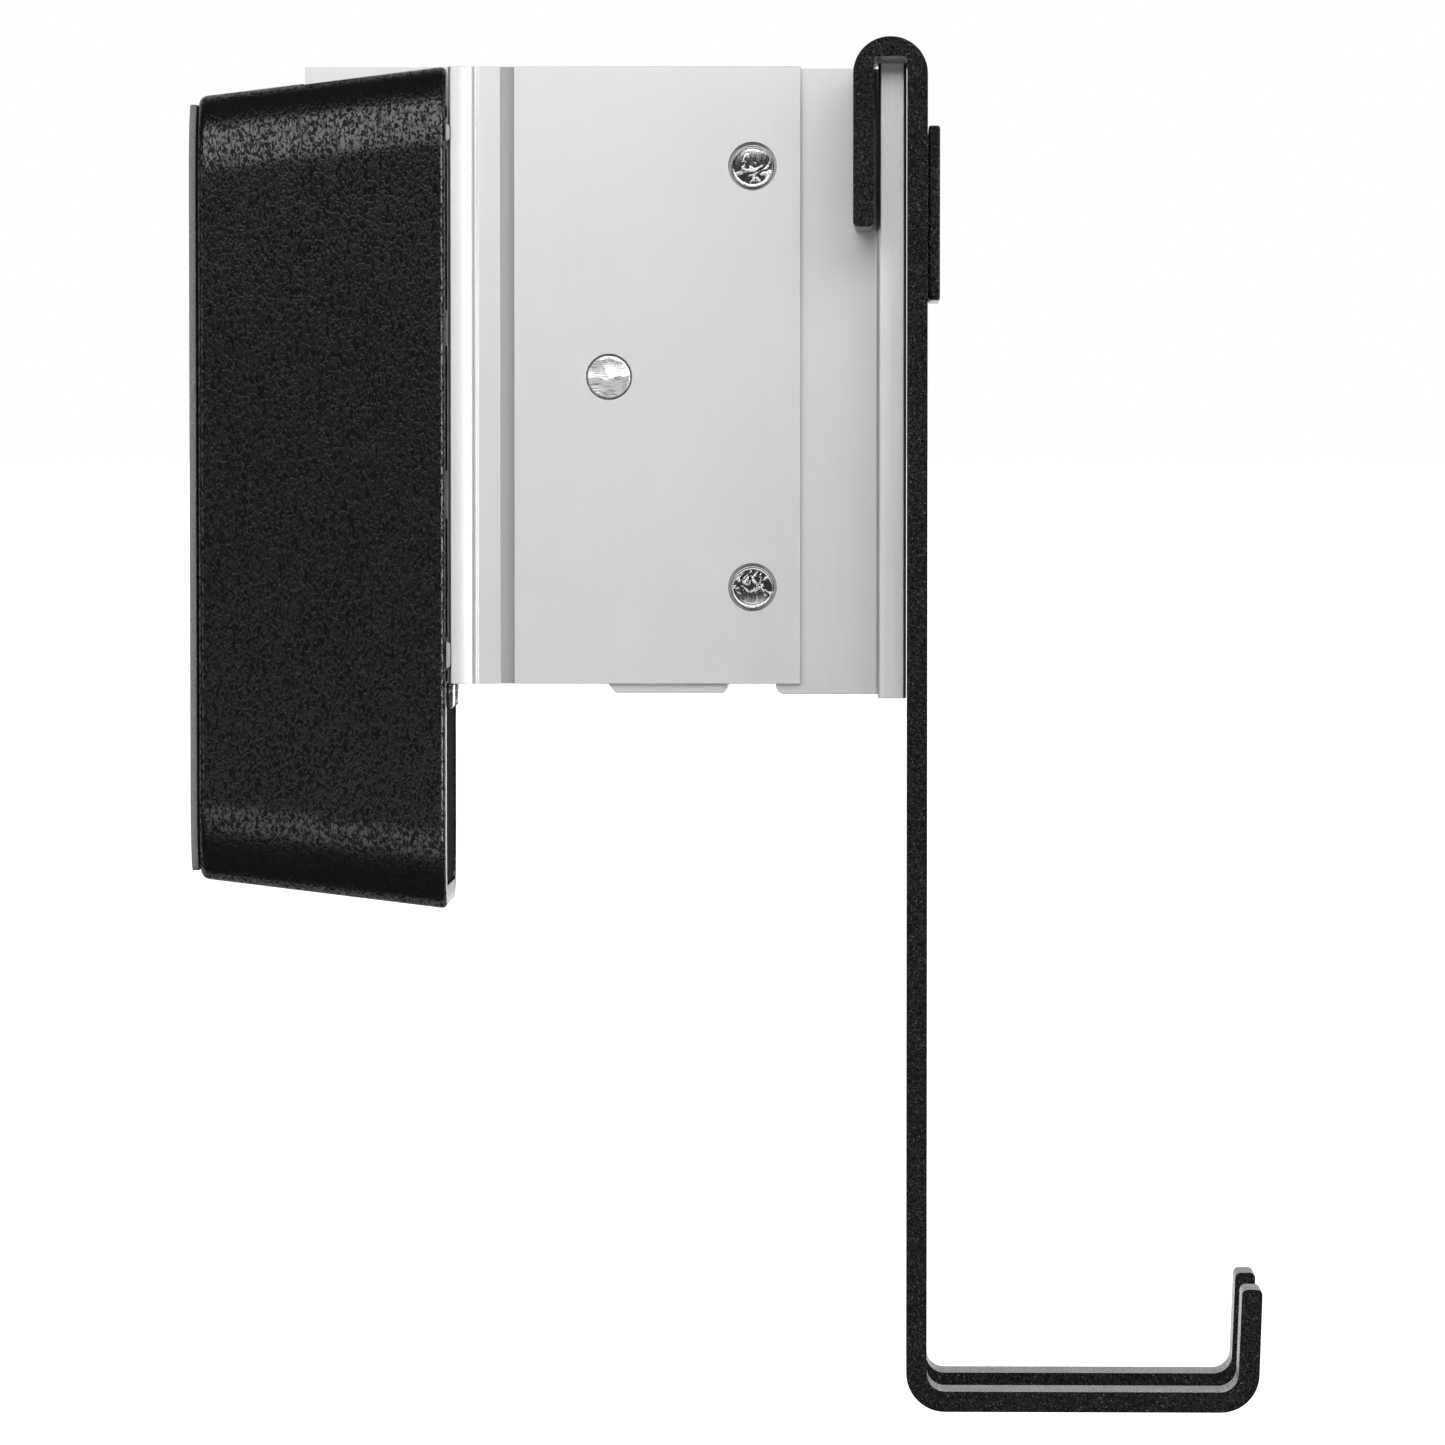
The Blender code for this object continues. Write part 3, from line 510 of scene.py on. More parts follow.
def relief(tree, height, depth, before=None):
    values = {"Height": height, "Distance": depth, "Strength": 1.0}
    if before:
        values["Normal"] = before
    return made(tree, "ShaderNodeBump", values)


def spread(tree, pattern, low, high):
    """A pattern's middle range, spread between two values."""
    return remap(tree, pattern, 0.3, 0.7, low, high)


def shade_of(colour, factor):
    return tuple(channel * factor for channel in colour)


def patterned(
    name, field, metallic, settings, per_metre, detail, shade, depth, gloss,
    fineness=0.5, stretch=1.0, lined=False, specular=0.5,
):
    """A material whose one fine pattern drives its colour, its relief and its roughness."""
    colour = getattr(settings, field)
    material, tree, shader = new_material(name, colour, metallic)
    shader.inputs["Specular IOR Level"].default_value = specular
    vector = on_piece(tree, (1.0, 1.0, stretch))
    pattern = grain(tree, vector, per_metre, detail=detail, roughness=fineness)
    factor = spread(tree, pattern, 0.0, 1.0) if lined else pattern
    first, second = [shade_of(colour, part) for part in sorted((1.0, shade))]
    wire(
        tree, shader,
        colour=blend_colours(tree, factor, first, second),
        normal=relief(tree, pattern, depth),
        roughness=spread(tree, pattern, *gloss),
    )
    return material


def wrinkle_coat(settings):
    """Black powder coat: fine rounded wrinkles with glossy crests, and pale painted glints on some
    crests.
    """
    material, tree, shader = new_material("wrinkle_powder_coat", settings.coat, 0.0)
    vector = on_piece(tree)
    wrinkles = grain(tree, vector, 2500.0, detail=2.5, roughness=0.6, distortion=1.1)
    crests = remap(tree, wrinkles, 0.40, 0.64, 0.0, 1.0)
    fine = grain(tree, vector, 3600.0, detail=1.0)
    patches = remap(tree, grain(tree, vector, 130.0), 0.40, 0.62, 0.5, 1.0)
    first = relief(tree, maths(tree, "MULTIPLY", crests, patches), 0.00006)
    # Painted glints: pale colour on the highest crests, in place of the sparkle they would catch.
    painted_glints = remap(tree, maths(tree, "MULTIPLY", crests, fine), 0.55, 0.62, 0.0, 1.0)
    wire(
        tree, shader,
        colour=blend_colours(tree, painted_glints, settings.coat, settings.coat_painted_glint),
        roughness=spread(tree, fine, 0.12, 0.24),
        normal=relief(tree, fine, 0.00002, before=first),
        specular=remap(tree, crests, 0.1, 0.9, 0.06, 0.36),
    )
    return material


def grained_plastic(settings):
    """Black moulded plastic with a leather grain: glossy wandering ridges, matt valleys."""
    material, tree, shader = new_material("grained_black_plastic", settings.plastic, 0.0)
    vector = on_piece(tree, (1.0, 1.0, 0.6))
    ridges = grain(tree, vector, 2300.0, detail=1.0, distortion=1.0)
    crests = remap(tree, ridges, 0.42, 0.58, 0.0, 1.0)
    fine = grain(tree, on_piece(tree), 4800.0, roughness=0.6)
    first = relief(tree, crests, 0.000012)
    blotches = grain(tree, vector, 420.0, detail=3.0)
    wire(
        tree, shader,
        colour=blend_colours(tree, blotches, settings.plastic, shade_of(settings.plastic, 1.7)),
        roughness=spread(tree, fine, 0.11, 0.17),
        normal=relief(tree, fine, 0.000005, before=first),
        specular=remap(tree, crests, 0.0, 1.0, 0.06, 0.80),
    )
    return material


def satin_aluminium(settings):
    """Anodised extrusion: an even satin with faint lines along the pull."""
    material, tree, shader = new_material("satin_anodised_aluminium", settings.aluminium, 1.0)
    lines = grain(tree, on_piece(tree, (1.0, 1.0, 0.012)), 3400.0, detail=3.0, roughness=0.7)
    mottle = grain(tree, on_piece(tree), 160.0, detail=4.0, roughness=0.6)
    fine = grain(tree, on_piece(tree), 9000.0)
    darker = shade_of(settings.aluminium, 0.975)
    first = relief(tree, lines, 0.0000025)
    wire(
        tree, shader,
        colour=blend_colours(tree, spread(tree, lines, 0.0, 1.0), darker, settings.aluminium),
        normal=relief(tree, fine, 0.000006, before=first),
        roughness=spread(tree, mottle, 0.37, 0.41),
    )
    return material


def bright_steel(settings):
    """Plated steel, mirror-bright, with a few soft dents and fine scratches."""
    material, tree, shader = new_material("bright_plated_steel", settings.steel, 1.0)
    vector = on_piece(tree)
    dents = grain(tree, vector, 380.0, detail=5.0, roughness=0.58, distortion=2.2)
    first = relief(tree, remap(tree, dents, 0.54, 0.80, 0.0, 1.0), 0.000045)
    scratches = grain(tree, on_piece(tree, (1.0, 1.0, 0.15)), 5000.0, detail=3.0)
    normal = relief(tree, scratches, 0.000006, before=first)
    wire(tree, shader, normal=normal, roughness=spread(tree, scratches, 0.06, 0.14))
    return material


def rivet_steel(settings):
    """The same plating on a rivet's head, flattened by the riveting tool and scratched."""
    material, tree, shader = new_material("pressed_plated_steel", settings.steel, 1.0)
    facets = add(tree, "ShaderNodeTexVoronoi", {"Vector": on_piece(tree), "Scale": 420.0})
    first = relief(tree, facets.outputs["Distance"], 0.00022)
    scratches = grain(tree, on_piece(tree, (0.2, 1.0, 1.0)), 4200.0, detail=3.0)
    normal = relief(tree, scratches, 0.00002, before=first)
    wire(tree, shader, normal=normal, roughness=spread(tree, scratches, 0.16, 0.40))
    return material


def foam_tape(settings):
    """Grey acrylic foam with small open cells along its cut edge."""
    material, tree, shader = new_material("grey_foam_tape", settings.foam, 0.0)
    values = {"Vector": on_piece(tree), "Scale": 3600.0}
    cells = add(tree, "ShaderNodeTexVoronoi", values).outputs["Distance"]
    wire(
        tree, shader,
        colour=blend_colours(tree, cells, shade_of(settings.foam, 0.6), settings.foam),
        normal=relief(tree, cells, 0.00008),
        roughness=remap(tree, cells, 0.0, 0.6, 0.75, 0.95),
    )
    return material


# The black plastic with a dead matt, etched face.
matt_plastic = partial(
    patterned, "matt_black_plastic", "plastic", 0.0, per_metre=3600.0,
    detail=3.0, shade=1.6, depth=0.00001, gloss=(0.8, 0.95), specular=0.02,
)
# The inside of a stud's hole: rough, and near black as painted shade.
bore_painted_shade = partial(
    patterned, "dark_rough_bore", "bore", 0.0, per_metre=2500.0,
    detail=3.0, shade=2.0, depth=0.00002, gloss=(0.6, 0.8),
)
# A milled end of the extrusion, with fine upright cutter lines; its brighter tone is painted light.
milled_aluminium = partial(
    patterned, "milled_aluminium", "milled", 1.0, per_metre=2600.0,
    detail=4.0, shade=0.93, depth=0.000004, gloss=(0.32, 0.38),
    fineness=0.7, stretch=0.01, lined=True,
)
# The extrusion down in its groove: matt, and a darker grey as painted shade.
dull_groove_aluminium = partial(
    patterned, "dull_groove_aluminium", "groove", 1.0, per_metre=3000.0,
    detail=3.0, shade=0.94, depth=0.000003, gloss=(0.50, 0.60),
    fineness=0.7, stretch=0.012, lined=True,
)
# Zinc-plated screw steel, duller, with a faint cloudiness.
screw_steel = partial(
    patterned, "zinc_plated_steel", "screw", 1.0, per_metre=900.0,
    detail=4.0, shade=0.7, depth=0.00002, gloss=(0.25, 0.45),
)
# As-cast zinc alloy: dull, with an orange-peel skin.
cast_zinc = partial(
    patterned, "cast_zinc_alloy", "casting", 1.0, per_metre=1500.0,
    detail=4.0, shade=0.75, depth=0.00006, gloss=(0.50, 0.70), fineness=0.6,
)
# Pale grey plastic with a faint moulded stipple.
smooth_pale_plastic = partial(
    patterned, "pale_grey_plastic", "pale_plastic", 0.0, per_metre=3000.0,
    detail=2.0, shade=0.85, depth=0.00002, gloss=(0.34, 0.48),
)

MATERIALS = {}


def material_of(maker, settings):
    """Each material is made once and then shared."""
    if maker not in MATERIALS:
        MATERIALS[maker] = maker(settings)
    return MATERIALS[maker]


# ---- hook


def corner_curve(tree, corners, steps):
    """A closed curve through corners, given as (place, radius), each rounded by its radius."""
    line = made(tree, "GeometryNodeMeshLine", {"Count": len(corners)})
    index = made(tree, "GeometryNodeInputIndex")
    places = add(tree, "GeometryNodeIndexSwitch", data_type="VECTOR")
    radii = add(tree, "GeometryNodeIndexSwitch", data_type="FLOAT")
    for switch in (places, radii):
        while len(switch.index_switch_items) < len(corners):
            switch.index_switch_items.new()
        tree.links.new(index, switch.inputs["Index"])
    for n, (spot, radius) in enumerate(corners):
        tree.links.new(spot, places.inputs[n + 1])
        if radius:
            tree.links.new(radius, radii.inputs[n + 1])
    values = {"Geometry": line, "Position": places.outputs[0]}
    moved = made(tree, "GeometryNodeSetPosition", values)
    curve = made(tree, "GeometryNodeMeshToCurve", {"Mesh": moved})
    values = {"Geometry": curve, "Cyclic": True}
    closed = made(tree, "GeometryNodeSetSplineCyclic", values)
    values = {"Curve": closed, "Count": steps, "Radius": radii.outputs[0], "Limit Radius": False}
    return made(tree, "GeometryNodeFilletCurve", values, mode="POLY")


def pushed_outline(tree, curve, distance):
    """A closed solid of a flat outline pushed along its own Z."""
    face = made(tree, "GeometryNodeFillCurve", {"Curve": curve}, mode="NGONS")
    upwards = point(tree, 0.0, 0.0, 1.0)
    values = {"Mesh": face, "Offset": upwards, "Offset Scale": distance, "Individual": False}
    pushed = made(tree, "GeometryNodeExtrudeMesh", values, mode="FACES")
    base = made(tree, "GeometryNodeFlipFaces", {"Mesh": face})
    values = {"Geometry": join(tree, base, pushed), "Distance": MERGE}
    return made(tree, "GeometryNodeMergeByDistance", values)


def turned_to(tree, geometry, rotation, place_at):
    values = {"Geometry": geometry, "Translation": place_at, "Rotation": rotation}
    return made(tree, "GeometryNodeTransform", values)


STRIP_ENDS = ("Back", "Tip", "Near", "Far", "Top", "Bottom")
STRIP_SIZES = (
    "Strip", "Slot", "Crown", "Short Leg", "Crown Radius", "Slot Radius", "Bend Radius",
    "Tip Height", "Tip Lean", "Tip Radius", "Fork Gap", "Fork Height", "Fork Radius",
)


def bent_strip_tree(material):
    """A strip bent over a rail plate, down, out and up, with a fork in its lower end."""
    kinds = {name: "NodeSocketFloat" for name in STRIP_ENDS + STRIP_SIZES}
    kinds["Bend Steps"] = "NodeSocketInt"
    tree, given = geometry_tree("bent_strip", kinds)
    back, tip, near, far, top, bottom = [given[name] for name in STRIP_ENDS]
    (
        strip, slot, crown, short_leg, crown_radius, slot_radius, bend_radius,
        tip_height, tip_lean, tip_radius, fork_gap, fork_height, fork_radius,
    ) = [given[name] for name in STRIP_SIZES]
    steps = given["Bend Steps"]

    def plus(first, second):
        return maths(tree, "ADD", first, second)

    def minus(first, second):
        return maths(tree, "SUBTRACT", first, second)

    def times(value, factor):
        return maths(tree, "MULTIPLY", value, factor)

    slot_back = plus(back, strip)
    leg_back = plus(slot_back, slot)
    leg_front = plus(leg_back, strip)
    slot_top = minus(top, crown)
    short_end = minus(top, short_leg)
    tip_top = plus(bottom, tip_height)
    arm_top = plus(bottom, strip)
    bend = minus(tip, tip_lean)
    inner_radius = minus(bend_radius, strip)
    outline = [
        (back, short_end, tip_radius),
        (back, top, crown_radius),
        (leg_front, top, crown_radius),
        (leg_front, arm_top, inner_radius),
        (minus(bend, strip), arm_top, inner_radius),
        (minus(tip, strip), tip_top, tip_radius),
        (tip, tip_top, tip_radius),
        (bend, bottom, bend_radius),
        (leg_back, bottom, bend_radius),
        (leg_back, slot_top, slot_radius),
        (slot_back, slot_top, slot_radius),
        (slot_back, short_end, tip_radius),
    ]
    corners = [(point(tree, x, z), radius) for x, z, radius in outline]
    side = corner_curve(tree, corners, steps)
    whole = pushed_outline(tree, side, minus(far, near))
    upright = (math.pi / 2, 0.0, 0.0)
    whole = turned_to(tree, whole, upright, point(tree, 0.0, far))

    # The fork is two cuts, each past the steel by the strip's thickness.
    half = times(fork_gap, 0.5)
    other_half = times(half, -1.0)
    fork_top = plus(bottom, fork_height)
    below = minus(bottom, strip)
    fork = [
        (point(tree, other_half, below), None),
        (point(tree, half, below), None),
        (point(tree, half, fork_top), fork_radius),
        (point(tree, other_half, fork_top), fork_radius),
    ]
    middle = times(plus(near, far), 0.5)
    leg_cut = pushed_outline(tree, corner_curve(tree, fork, steps), times(strip, 3.0))
    facing_out = (math.pi / 2, 0.0, math.pi / 2)
    leg_cut = turned_to(tree, leg_cut, facing_out, point(tree, minus(leg_back, strip), middle))
    length_of_cut = plus(minus(tip, leg_front), strip)
    size = point(tree, length_of_cut, fork_gap, plus(tip_height, times(strip, 2.0)))
    block = made(tree, "GeometryNodeMeshCube", {"Size": size})
    centre_x = times(plus(plus(tip, leg_front), strip), 0.5)
    centre = point(tree, centre_x, middle, times(plus(bottom, tip_top), 0.5))
    arm_cut = turned_to(tree, block, (0.0, 0.0, 0.0), centre)

    cut = add(tree, "GeometryNodeMeshBoolean", {0: whole}, operation="DIFFERENCE", solver="EXACT")
    tree.links.new(leg_cut, cut.inputs[1])
    tree.links.new(arm_cut, cut.inputs[1])
    end_tree(tree, cut.outputs[0], material)
    return tree


class HOOK_OT_make_strip(bpy.types.Operator):
    """Bend the hook from one strip of flat steel"""

    bl_idname = "headphone_hook.make_strip"
    bl_label = "Bent Strip"

    def execute(self, context):
        sizes = context.scene.headphone_hook_strip
        coat = material_of(wrinkle_coat, sizes)
        low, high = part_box("hook")
        values = dict(zip(STRIP_ENDS, (low.x, high.x, low.y, high.y, high.z, low.z)))
        for name in (*STRIP_SIZES, "Bend Steps"):
            values[name] = getattr(sizes, name.lower().replace(" ", "_"))
        tree = bent_strip_tree(coat)
        strip = run_tree("bent_strip", tree, values, edge=sizes.edge)
        place(strip, ["hook"], coat)
        return {"FINISHED"}


class HOOK_OT_make_front_plate(bpy.types.Operator):
    """Cut the thin plate that sits on the front of the long leg"""

    bl_idname = "headphone_hook.make_front_plate"
    bl_label = "Front Plate"

    def execute(self, context):
        sizes = context.scene.headphone_hook_strip
        low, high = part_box("front_plate")
        middle = (low + high) / 2
        radius = sizes.plate_radius
        reach = (high.y - middle.y - radius, high.z - middle.z - radius)
        outline = rounded_outline((middle.y, middle.z), reach, (radius, radius), sizes.bend_steps)
        shape = ringed_solid([(low.x, outline), (high.x, outline)])
        source = object_of("front_plate_source", shape)
        round_edges(source, sizes.plate_edge)
        plate = settle(source, "coated_front_plate")
        place(plate, ["front_plate"], material_of(wrinkle_coat, sizes))
        return {"FINISHED"}


# ---- housing


def housing_outline(sizes, x, inset, low, high):
    """The housing's outline at x, moved inwards by inset, as (y, z) points."""
    along = (x - low.x) / (high.x - low.x)
    height = sizes.back_half_height + along * (high.z - sizes.back_half_height)
    depth = sizes.back_half_depth + along * (high.y - sizes.back_half_depth)
    reach = (depth - sizes.corner_depth, height - sizes.corner_height)
    corner = (sizes.corner_depth - inset, sizes.corner_height - inset)
    return rounded_outline((0.0, 0.0), reach, corner, sizes.corner_steps)


def housing_sections(sizes, low, high):
    """(x, inset) of each ring, from the outer back face forwards and in to the inner back."""
    turns = 8
    angles = [math.pi / 2 * step / turns for step in range(turns + 1)]
    sections = []
    for angle in angles:
        inset = sizes.back_edge * (1 - math.sin(angle))
        sections.append((low.x + sizes.back_edge * (1 - math.cos(angle)), inset))
    for angle in angles:
        inset = sizes.lip * (1 - math.cos(angle))
        sections.append((high.x - sizes.lip * (1 - math.sin(angle)), inset))
    sections.append((high.x, sizes.wall))
    sections.append((low.x + sizes.back_wall, sizes.wall))
    return sections


class HOOK_OT_make_housing(bpy.types.Operator):
    """Mould the tapered housing, with its opening for the channel"""

    bl_idname = "headphone_hook.make_housing"
    bl_label = "Housing"

    def execute(self, context):
        sizes = context.scene.headphone_hook_housing
        metal = context.scene.headphone_hook_metal
        low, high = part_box("housing_shell")
        sections = [
            (x, housing_outline(sizes, x, inset, low, high))
            for x, inset in housing_sections(sizes, low, high)
        ]
        source = object_of("housing_source", ringed_solid(sections))
        channel_low, channel_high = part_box("channel")
        stem = merged_copy("channel", "stem_source")
        half = max(vert.co.y for vert in stem.data.vertices if vert.co.x < high.x) + sizes.gap
        bpy.data.objects.remove(stem, do_unlink=True)
        opening_low = (channel_low.x - sizes.gap, -half, channel_high.z - sizes.opening_depth)
        opening_high = (high.x + sizes.wall, half, channel_high.z + sizes.wall)
        cutters = [subtract(source, box_shape(opening_low, opening_high), "channel_opening")]
        for level in ("upper", "lower"):
            screw_low, screw_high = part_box(f"back_screw_{level}")
            radius = (screw_high.z - screw_low.z) / 2 + sizes.gap
            profile = [(radius, -sizes.wall), (radius, sizes.back_wall + sizes.wall)]
            recess = turned(profile, metal.round_steps)
            middle = (screw_low + screw_high) / 2
            turn = Matrix.Rotation(math.pi / 2, 4, "Y")
            spot = Matrix.Translation((low.x, middle.y, middle.z))
            bmesh.ops.transform(recess, matrix=spot @ turn, verts=recess.verts)
            cutters.append(subtract(source, recess, f"screw_recess_{level}"))
        housing = settle(source, "moulded_housing")
        for cutter in cutters:
            bpy.data.objects.remove(cutter, do_unlink=True)
        place(housing, ["housing_shell"], material_of(grained_plastic, sizes))
        return {"FINISHED"}


class HOOK_OT_make_housing_trim(bpy.types.Operator):
    """Finish the face plate, adhesive pad, anchor block, latch tongues and clips"""

    bl_idname = "headphone_hook.make_housing_trim"
    bl_label = "Housing Trim"

    def execute(self, context):
        sizes = context.scene.headphone_hook_housing
        metal = context.scene.headphone_hook_metal
        edge = metal.trim_edge
        pale = material_of(smooth_pale_plastic, sizes)
        foam = material_of(foam_tape, sizes)
        steel = material_of(bright_steel, metal)
        zinc = material_of(cast_zinc, metal)
        matt = material_of(matt_plastic, sizes)
        finished_copy("face_plate", "toothed_face_plate", edge, matt)
        pad = finished_copy("adhesive_pad", "foam_pad", edge, foam)
        finished_copy("anchor_block", "cast_anchor_block", edge, zinc)
        for level in ("upper", "lower"):
            name = f"pale_tongue_{level}"
            finished_copy(f"latch_tongue_{level}", name, edge, pale)
        for side in ("near", "far"):
            finished_copy(f"clip_{side}", f"spring_clip_{side}", edge, steel)
        return {"FINISHED"}


# ---- extrusions


def repaint(mesh, material, wanted):
    """Gives one more material to the faces that a test picks out."""
    mesh.materials.append(material)
    for face in mesh.polygons:
        if wanted(face):
            face.material_index = len(mesh.materials) - 1


class HOOK_OT_make_extrusions(bpy.types.Operator):
    """Finish the channel, the rail profile and the spacer"""

    bl_idname = "headphone_hook.make_extrusions"
    bl_label = "Extrusions"

    def execute(self, context):
        metal = context.scene.headphone_hook_metal
        satin = material_of(satin_aluminium, metal)
        edge = metal.extrusion_edge
        for node, name in (
            ("channel", "extruded_channel"),
            ("rail_profile", "extruded_rail"),
            ("spacer", "extruded_spacer"),
        ):
            finished_copy(node, name, edge, satin)
        channel = bpy.data.objects["extruded_channel"].data
        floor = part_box("channel")[1].y - metal.rib_height - metal.groove_depth
        holes = []
        for level in ("upper", "lower"):
            low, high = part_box(f"stud_{level}_near")
            holes.append(((low + high) / 2, (high.x - low.x) / 2 + metal.stud_play))

        def in_groove(face):
            across = metal.groove_back < face.center.x < metal.groove_front
            return across and abs(abs(face.center.y) - floor) < metal.extrusion_edge

        def in_hole(face):
            upright = abs(face.normal.y) < 0.5
            return upright and any(
                math.hypot(face.center.x - middle.x, face.center.z - middle.z) < reach
                for middle, reach in holes
            )

        # The groove's floor gets the darker grey painted shade.
        repaint(channel, material_of(dull_groove_aluminium, metal), in_groove)
        # The holes' walls get the near-black painted shade.
        repaint(channel, material_of(bore_painted_shade, metal), in_hole)
        # The rail plate's end faces get the paler painted light.
        rail = bpy.data.objects["extruded_rail"].data
        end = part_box("rail_profile")[1].y - metal.extrusion_edge
        repaint(rail, material_of(milled_aluminium, metal), lambda face: abs(face.center.y) > end)
        return {"FINISHED"}


# ---- studs, rivets and screws


def fastener_row_tree(material):
    """Copies a fastener down a row of places, and turns a second row to the other side."""
    kinds = {
        "Count": "NodeSocketInt",
        "Start": "NodeSocketVector",
        "Step": "NodeSocketVector",
        "Both Sides": "NodeSocketBool",
    }
    tree, given = geometry_tree("fastener_row", kinds)
    values = {"Count": given["Count"], "Start Location": given["Start"], "Offset": given["Step"]}
    row = made(tree, "GeometryNodeMeshLine", values, mode="OFFSET")
    values = {"Points": row, "Instance": given["Geometry"]}
    near = made(tree, "GeometryNodeInstanceOnPoints", values)
    x = made(tree, "ShaderNodeSeparateXYZ", {0: given["Start"]})
    values = {"Geometry": near, "Rotation": (0.0, 0.0, math.pi)}
    values["Translation"] = point(tree, maths(tree, "MULTIPLY", x, 2.0), 0.0)
    far = made(tree, "GeometryNodeTransform", values)
    values = {"Switch": given["Both Sides"], "True": far}
    other = made(tree, "GeometryNodeSwitch", values, input_type="GEOMETRY")
    end_tree(tree, join(tree, near, other), material)
    return tree


def row_of(nodes, axis):
    """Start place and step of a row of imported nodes, at the head's end along the axis."""
    spots = []
    for node in nodes:
        low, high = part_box(node)
        spot = (low + high) / 2
        for along in range(3):
            if axis[along]:
                spot[along] = high[along] if axis[along] > 0 else low[along]
        spots.append(spot)
    step = spots[1] - spots[0] if len(spots) > 1 else Vector((0, 0, 0))
    return spots[0], step


def fastener_row(name, shape, nodes, axis, both_sides, material):
    """A row of one fastener, given with its head up at the origin, heads facing the axis."""
    turn = Vector((0, 0, 1)).rotation_difference(Vector(axis)).to_matrix().to_4x4()
    bmesh.ops.transform(shape, matrix=turn, verts=shape.verts)
    number = len(nodes) // 2 if both_sides else len(nodes)
    start, step = row_of(nodes[:number], axis)
    values = {"Count": number, "Start": start, "Step": step, "Both Sides": both_sides}
    row = run_tree(name, fastener_row_tree(material), values, mesh=mesh_of(name, shape))
    row.data.shade_smooth()
    row.data.set_sharp_from_angle(angle=SMOOTH_ANGLE)
    return place(row, nodes, material)


def arc(centre_radius, centre_height, radius, start, end, steps):
    """Profile points on an arc, its angles in degrees from the outward direction."""
    points = []
    for n in range(steps + 1):
        angle = math.radians(start + (end - start) * n / steps)
        out = centre_radius + radius * math.cos(angle)
        points.append((out, centre_height + radius * math.sin(angle)))
    return points


def stud_shape(metal, head_radius, tail_height):
    """A stud: a hollowed head with a raised rim, a shank, and a riveted tail."""
    rim = metal.stud_rim
    hollow = metal.stud_hollow
    inner = head_radius - rim
    middle_depth = 0.35  # the hollow's depth in the middle of the head, over its full depth
    steps = 9
    profile = [(0, -hollow * middle_depth)]
    for step in range(1, steps):
        portion = step / steps
        dish = hollow * (middle_depth + (1 - middle_depth) * portion ** 2)
        profile.append((inner * portion, -dish))
    profile.append((inner - rim * 0.15, -hollow))
    profile += arc(head_radius - rim * 0.5, -rim * 0.5, rim * 0.5, 160, 0, 8)
    profile += [(head_radius, -metal.head_thickness), (metal.shank_radius, -metal.head_thickness)]
    end = -metal.head_thickness - metal.stud_shank
    profile += [(metal.shank_radius, end), (metal.tail_radius, end)]
    edge = tail_height * 0.6
    profile += arc(metal.tail_radius - edge, end - tail_height + edge, edge, 0, -90, 5)
    profile.append((0, end - tail_height))
    return turned(profile, metal.round_steps)


def rivet_shape(metal, head_radius, depth):
    """A centre rivet: a low smooth head on a shank."""
    drop = metal.rivet_dome * 0.3
    edge = metal.rivet_dome * 2.2
    steps = 8
    profile = [(0, 0)]
    for step in range(1, steps + 1):
        portion = step / steps
        profile.append(((head_radius - edge) * portion, -drop * portion ** 2))
    profile += arc(head_radius - edge, -edge - drop, edge, 75, 0, 5)
    profile += [(head_radius, -metal.head_thickness), (metal.shank_radius, -metal.head_thickness)]
    profile += [(metal.shank_radius, -depth), (0, -depth)]
    return turned(profile, metal.round_steps)


def screw_shape(metal, head_radius, whole_length):
    """A pan-head screw with rings for a thread on its shank."""
    head = metal.screw_head
    shank = metal.shank_radius
    pitch = metal.thread_pitch
    dome = 0.00003  # how far the head falls away to its crown's edge
    crown = 0.72  # where the head's rounded edge starts, over its radius
    profile = [(0, 0), (head_radius * 0.55, -dome)]
    profile += arc(head_radius * crown, -head * 0.55, head_radius * (1 - crown), 70, 0, 6)
    profile += [(head_radius, -head), (shank, -head)]
    for n in range(int((whole_length - head) / pitch) - 1):
        top = -head - pitch * n
        profile.append((shank, top - pitch * 0.25))
        profile.append((shank * metal.thread_root, top - pitch * 0.75))
    profile += [(shank * 0.6, -whole_length), (0, -whole_length)]
    return turned(profile, metal.round_steps)


class HOOK_OT_make_fasteners(bpy.types.Operator):
    """Turn the studs, the centre rivets and the screws, and set them in rows"""

    bl_idname = "headphone_hook.make_fasteners"
    bl_label = "Studs, Rivets and Screws"

    def execute(self, context):
        metal = context.scene.headphone_hook_metal
        steel = material_of(bright_steel, metal)
        pressed = material_of(rivet_steel, metal)
        plated = material_of(screw_steel, metal)
        levels = ("lower", "upper")
        sides = ("near", "far")
        towards = (0, -1, 0)

        low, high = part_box("stud_lower_near")
        tail_height = high.y - low.y - metal.head_thickness - metal.stud_shank
        shape = stud_shape(metal, (high.x - low.x) / 2, tail_height)
        nodes = [f"stud_{level}_{side}" for side in sides for level in levels]
        fastener_row("riveted_studs", shape, nodes, towards, True, steel)

        low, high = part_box("centre_rivet_near")
        shape = rivet_shape(metal, (high.x - low.x) / 2, high.y - low.y)
        nodes = [f"centre_rivet_{side}" for side in sides]
        fastener_row("centre_rivets", shape, nodes, towards, True, pressed)

        for kind, axis in (("back", (-1, 0, 0)), ("channel", (1, 0, 0))):
            low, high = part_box(f"{kind}_screw_lower")
            shape = screw_shape(metal, (high.z - low.z) / 2, high.x - low.x)
            nodes = [f"{kind}_screw_{level}" for level in levels]
            fastener_row(f"{kind}_screws", shape, nodes, axis, False, plated)
        return {"FINISHED"}


# ---- stage


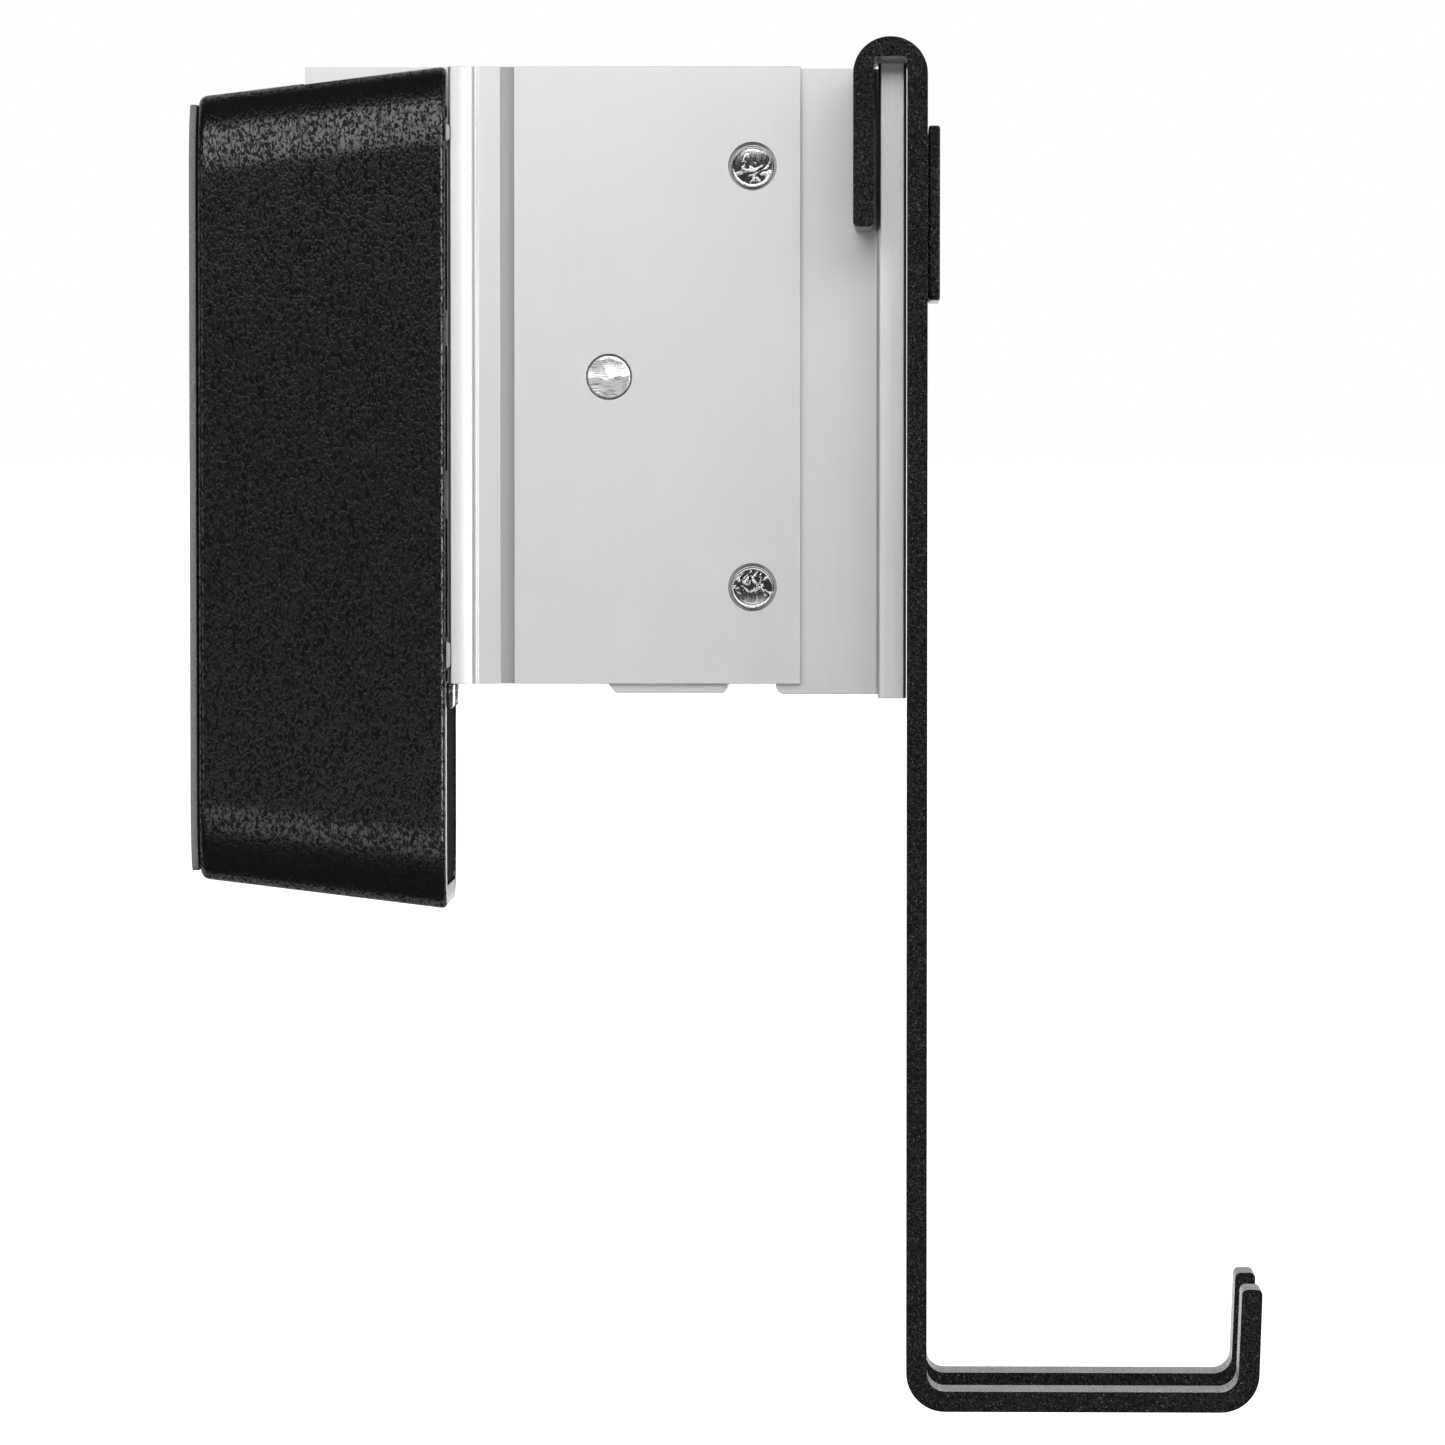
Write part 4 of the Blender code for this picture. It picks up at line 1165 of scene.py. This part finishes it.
def soft_light(name, target, direction, width, height, power):
    """A rectangular soft light, facing the target."""
    light = bpy.data.lights.new(name, "AREA")
    light.shape = "RECTANGLE"
    light.size = width
    light.size_y = height
    light.energy = power
    lamp = linked(name, light)
    lamp.visible_camera = False
    away = Vector(direction).normalized()
    lamp.location = target + away * LIGHT_DISTANCE
    lamp.rotation_euler = away.to_track_quat("Z", "Y").to_euler()


def studio_world(front_glow):
    """White behind the object and dim in front of it, so that black faces stay black."""
    world = bpy.data.worlds.new("studio")
    bpy.context.scene.world = world
    world.use_nodes = True
    tree = world.node_tree
    tree.nodes.clear()
    direction = add(tree, "ShaderNodeTexCoord").outputs["Generated"]
    depth = add(tree, "ShaderNodeSeparateXYZ", {0: direction}).outputs[1]
    glow = remap(tree, depth, -0.15, 0.35, front_glow, 1.0)
    seen = add(tree, "ShaderNodeLightPath").outputs["Is Camera Ray"]
    strength = made(tree, "ShaderNodeMix", {"Factor": seen, "A": glow, "B": 1.0})
    white = {"Color": (1.0, 1.0, 1.0, 1.0), "Strength": strength}
    shader = made(tree, "ShaderNodeBackground", white)
    add(tree, "ShaderNodeOutputWorld", {"Surface": shader})


def floor_material(colour):
    """A pale matt floor that glows more the further it runs behind the object."""
    material, tree, shader = new_material("pale_floor", colour, 0.0)
    shader.inputs["Roughness"].default_value = 0.9
    speckle = grain(tree, on_piece(tree), 40.0, detail=3.0)
    wire(tree, shader, colour=blend_colours(tree, speckle, colour, shade_of(colour, 1.01)))
    place_of = add(tree, "ShaderNodeTexCoord").outputs["Object"]
    depth = add(tree, "ShaderNodeSeparateXYZ", {0: place_of}).outputs[1]
    shader.inputs["Emission Color"].default_value = (1.0, 1.0, 1.0, 1.0)
    tree.links.new(remap(tree, depth, 0.3, 1.0, 0.0, 0.85), shader.inputs["Emission Strength"])
    return material


class HOOK_OT_make_stage(bpy.types.Operator):
    """Set out the floor, the soft lights and the camera"""

    bl_idname = "headphone_hook.make_stage"
    bl_label = "Stage"

    def execute(self, context):
        stage = context.scene.headphone_hook_stage
        low, high = PACKED_BOX
        centre = (low + high) / 2
        shape = bmesh.new()
        bmesh.ops.create_circle(shape, cap_ends=True, segments=96, radius=stage.floor_radius)
        behind = stage.floor_radius - stage.floor_front
        middle = Vector((centre.x, centre.y + behind, low.z - stage.floor_drop))
        bmesh.ops.translate(shape, verts=shape.verts, vec=middle)
        floor = object_of("floor", shape)
        floor.data.materials.append(floor_material(stage.floor))

        studio_world(stage.glow)
        for name, values in LIGHTS.items():
            soft_light(name, centre, *values)
        context.scene.view_settings.view_transform = "Standard"

        camera = bpy.data.cameras.new("camera")
        camera.sensor_width = SENSOR_WIDTH
        camera.lens = stage.lens
        camera.clip_start = CLIP_START
        camera.clip_end = CLIP_END
        stand = linked("camera", camera)
        hook_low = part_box("hook")[0]
        out = hook_low.x + (high.x - hook_low.x) * stage.camera_share
        stand.location = (out, hook_low.y - stage.camera_distance, stage.camera_height)
        aim = Vector((stage.aim_out, hook_low.y, -stage.aim_drop))
        stand.rotation_euler = (aim - stand.location).to_track_quat("-Z", "Y").to_euler()
        context.scene.camera = stand
        return {"FINISHED"}


# ---- panel and registration


OPERATORS = (
    HOOK_OT_make_stage,
    HOOK_OT_make_extrusions,
    HOOK_OT_make_fasteners,
    HOOK_OT_make_housing,
    HOOK_OT_make_housing_trim,
    HOOK_OT_make_strip,
    HOOK_OT_make_front_plate,
)


class HOOK_PT_sidebar(bpy.types.Panel):
    """Sizes, colours and pieces of the headphone hook"""

    bl_label = "Headphone Hook"
    bl_idname = "HOOK_PT_sidebar"
    bl_space_type = "VIEW_3D"
    bl_region_type = "UI"
    bl_category = "Headphone Hook"

    def draw(self, context):
        for operator in OPERATORS:
            self.layout.operator(operator.bl_idname)
        for name, group in SETTINGS.items():
            box = self.layout.box()
            settings = getattr(context.scene, name)
            for field in group.__annotations__:
                box.prop(settings, field, text=field.replace("_", " ").capitalize())


CLASSES = (*SETTINGS.values(), *OPERATORS, HOOK_PT_sidebar)


def register():
    for item in CLASSES:
        bpy.utils.register_class(item)
    for name, group in SETTINGS.items():
        setattr(bpy.types.Scene, name, PointerProperty(type=group))


def unregister():
    for name in SETTINGS:
        delattr(bpy.types.Scene, name)
    for item in reversed(CLASSES):
        bpy.utils.unregister_class(item)


def main():
    register()
    for operator in OPERATORS:
        group, action = operator.bl_idname.split(".")
        getattr(getattr(bpy.ops, group), action)()


if __name__ == "__main__":
    main()
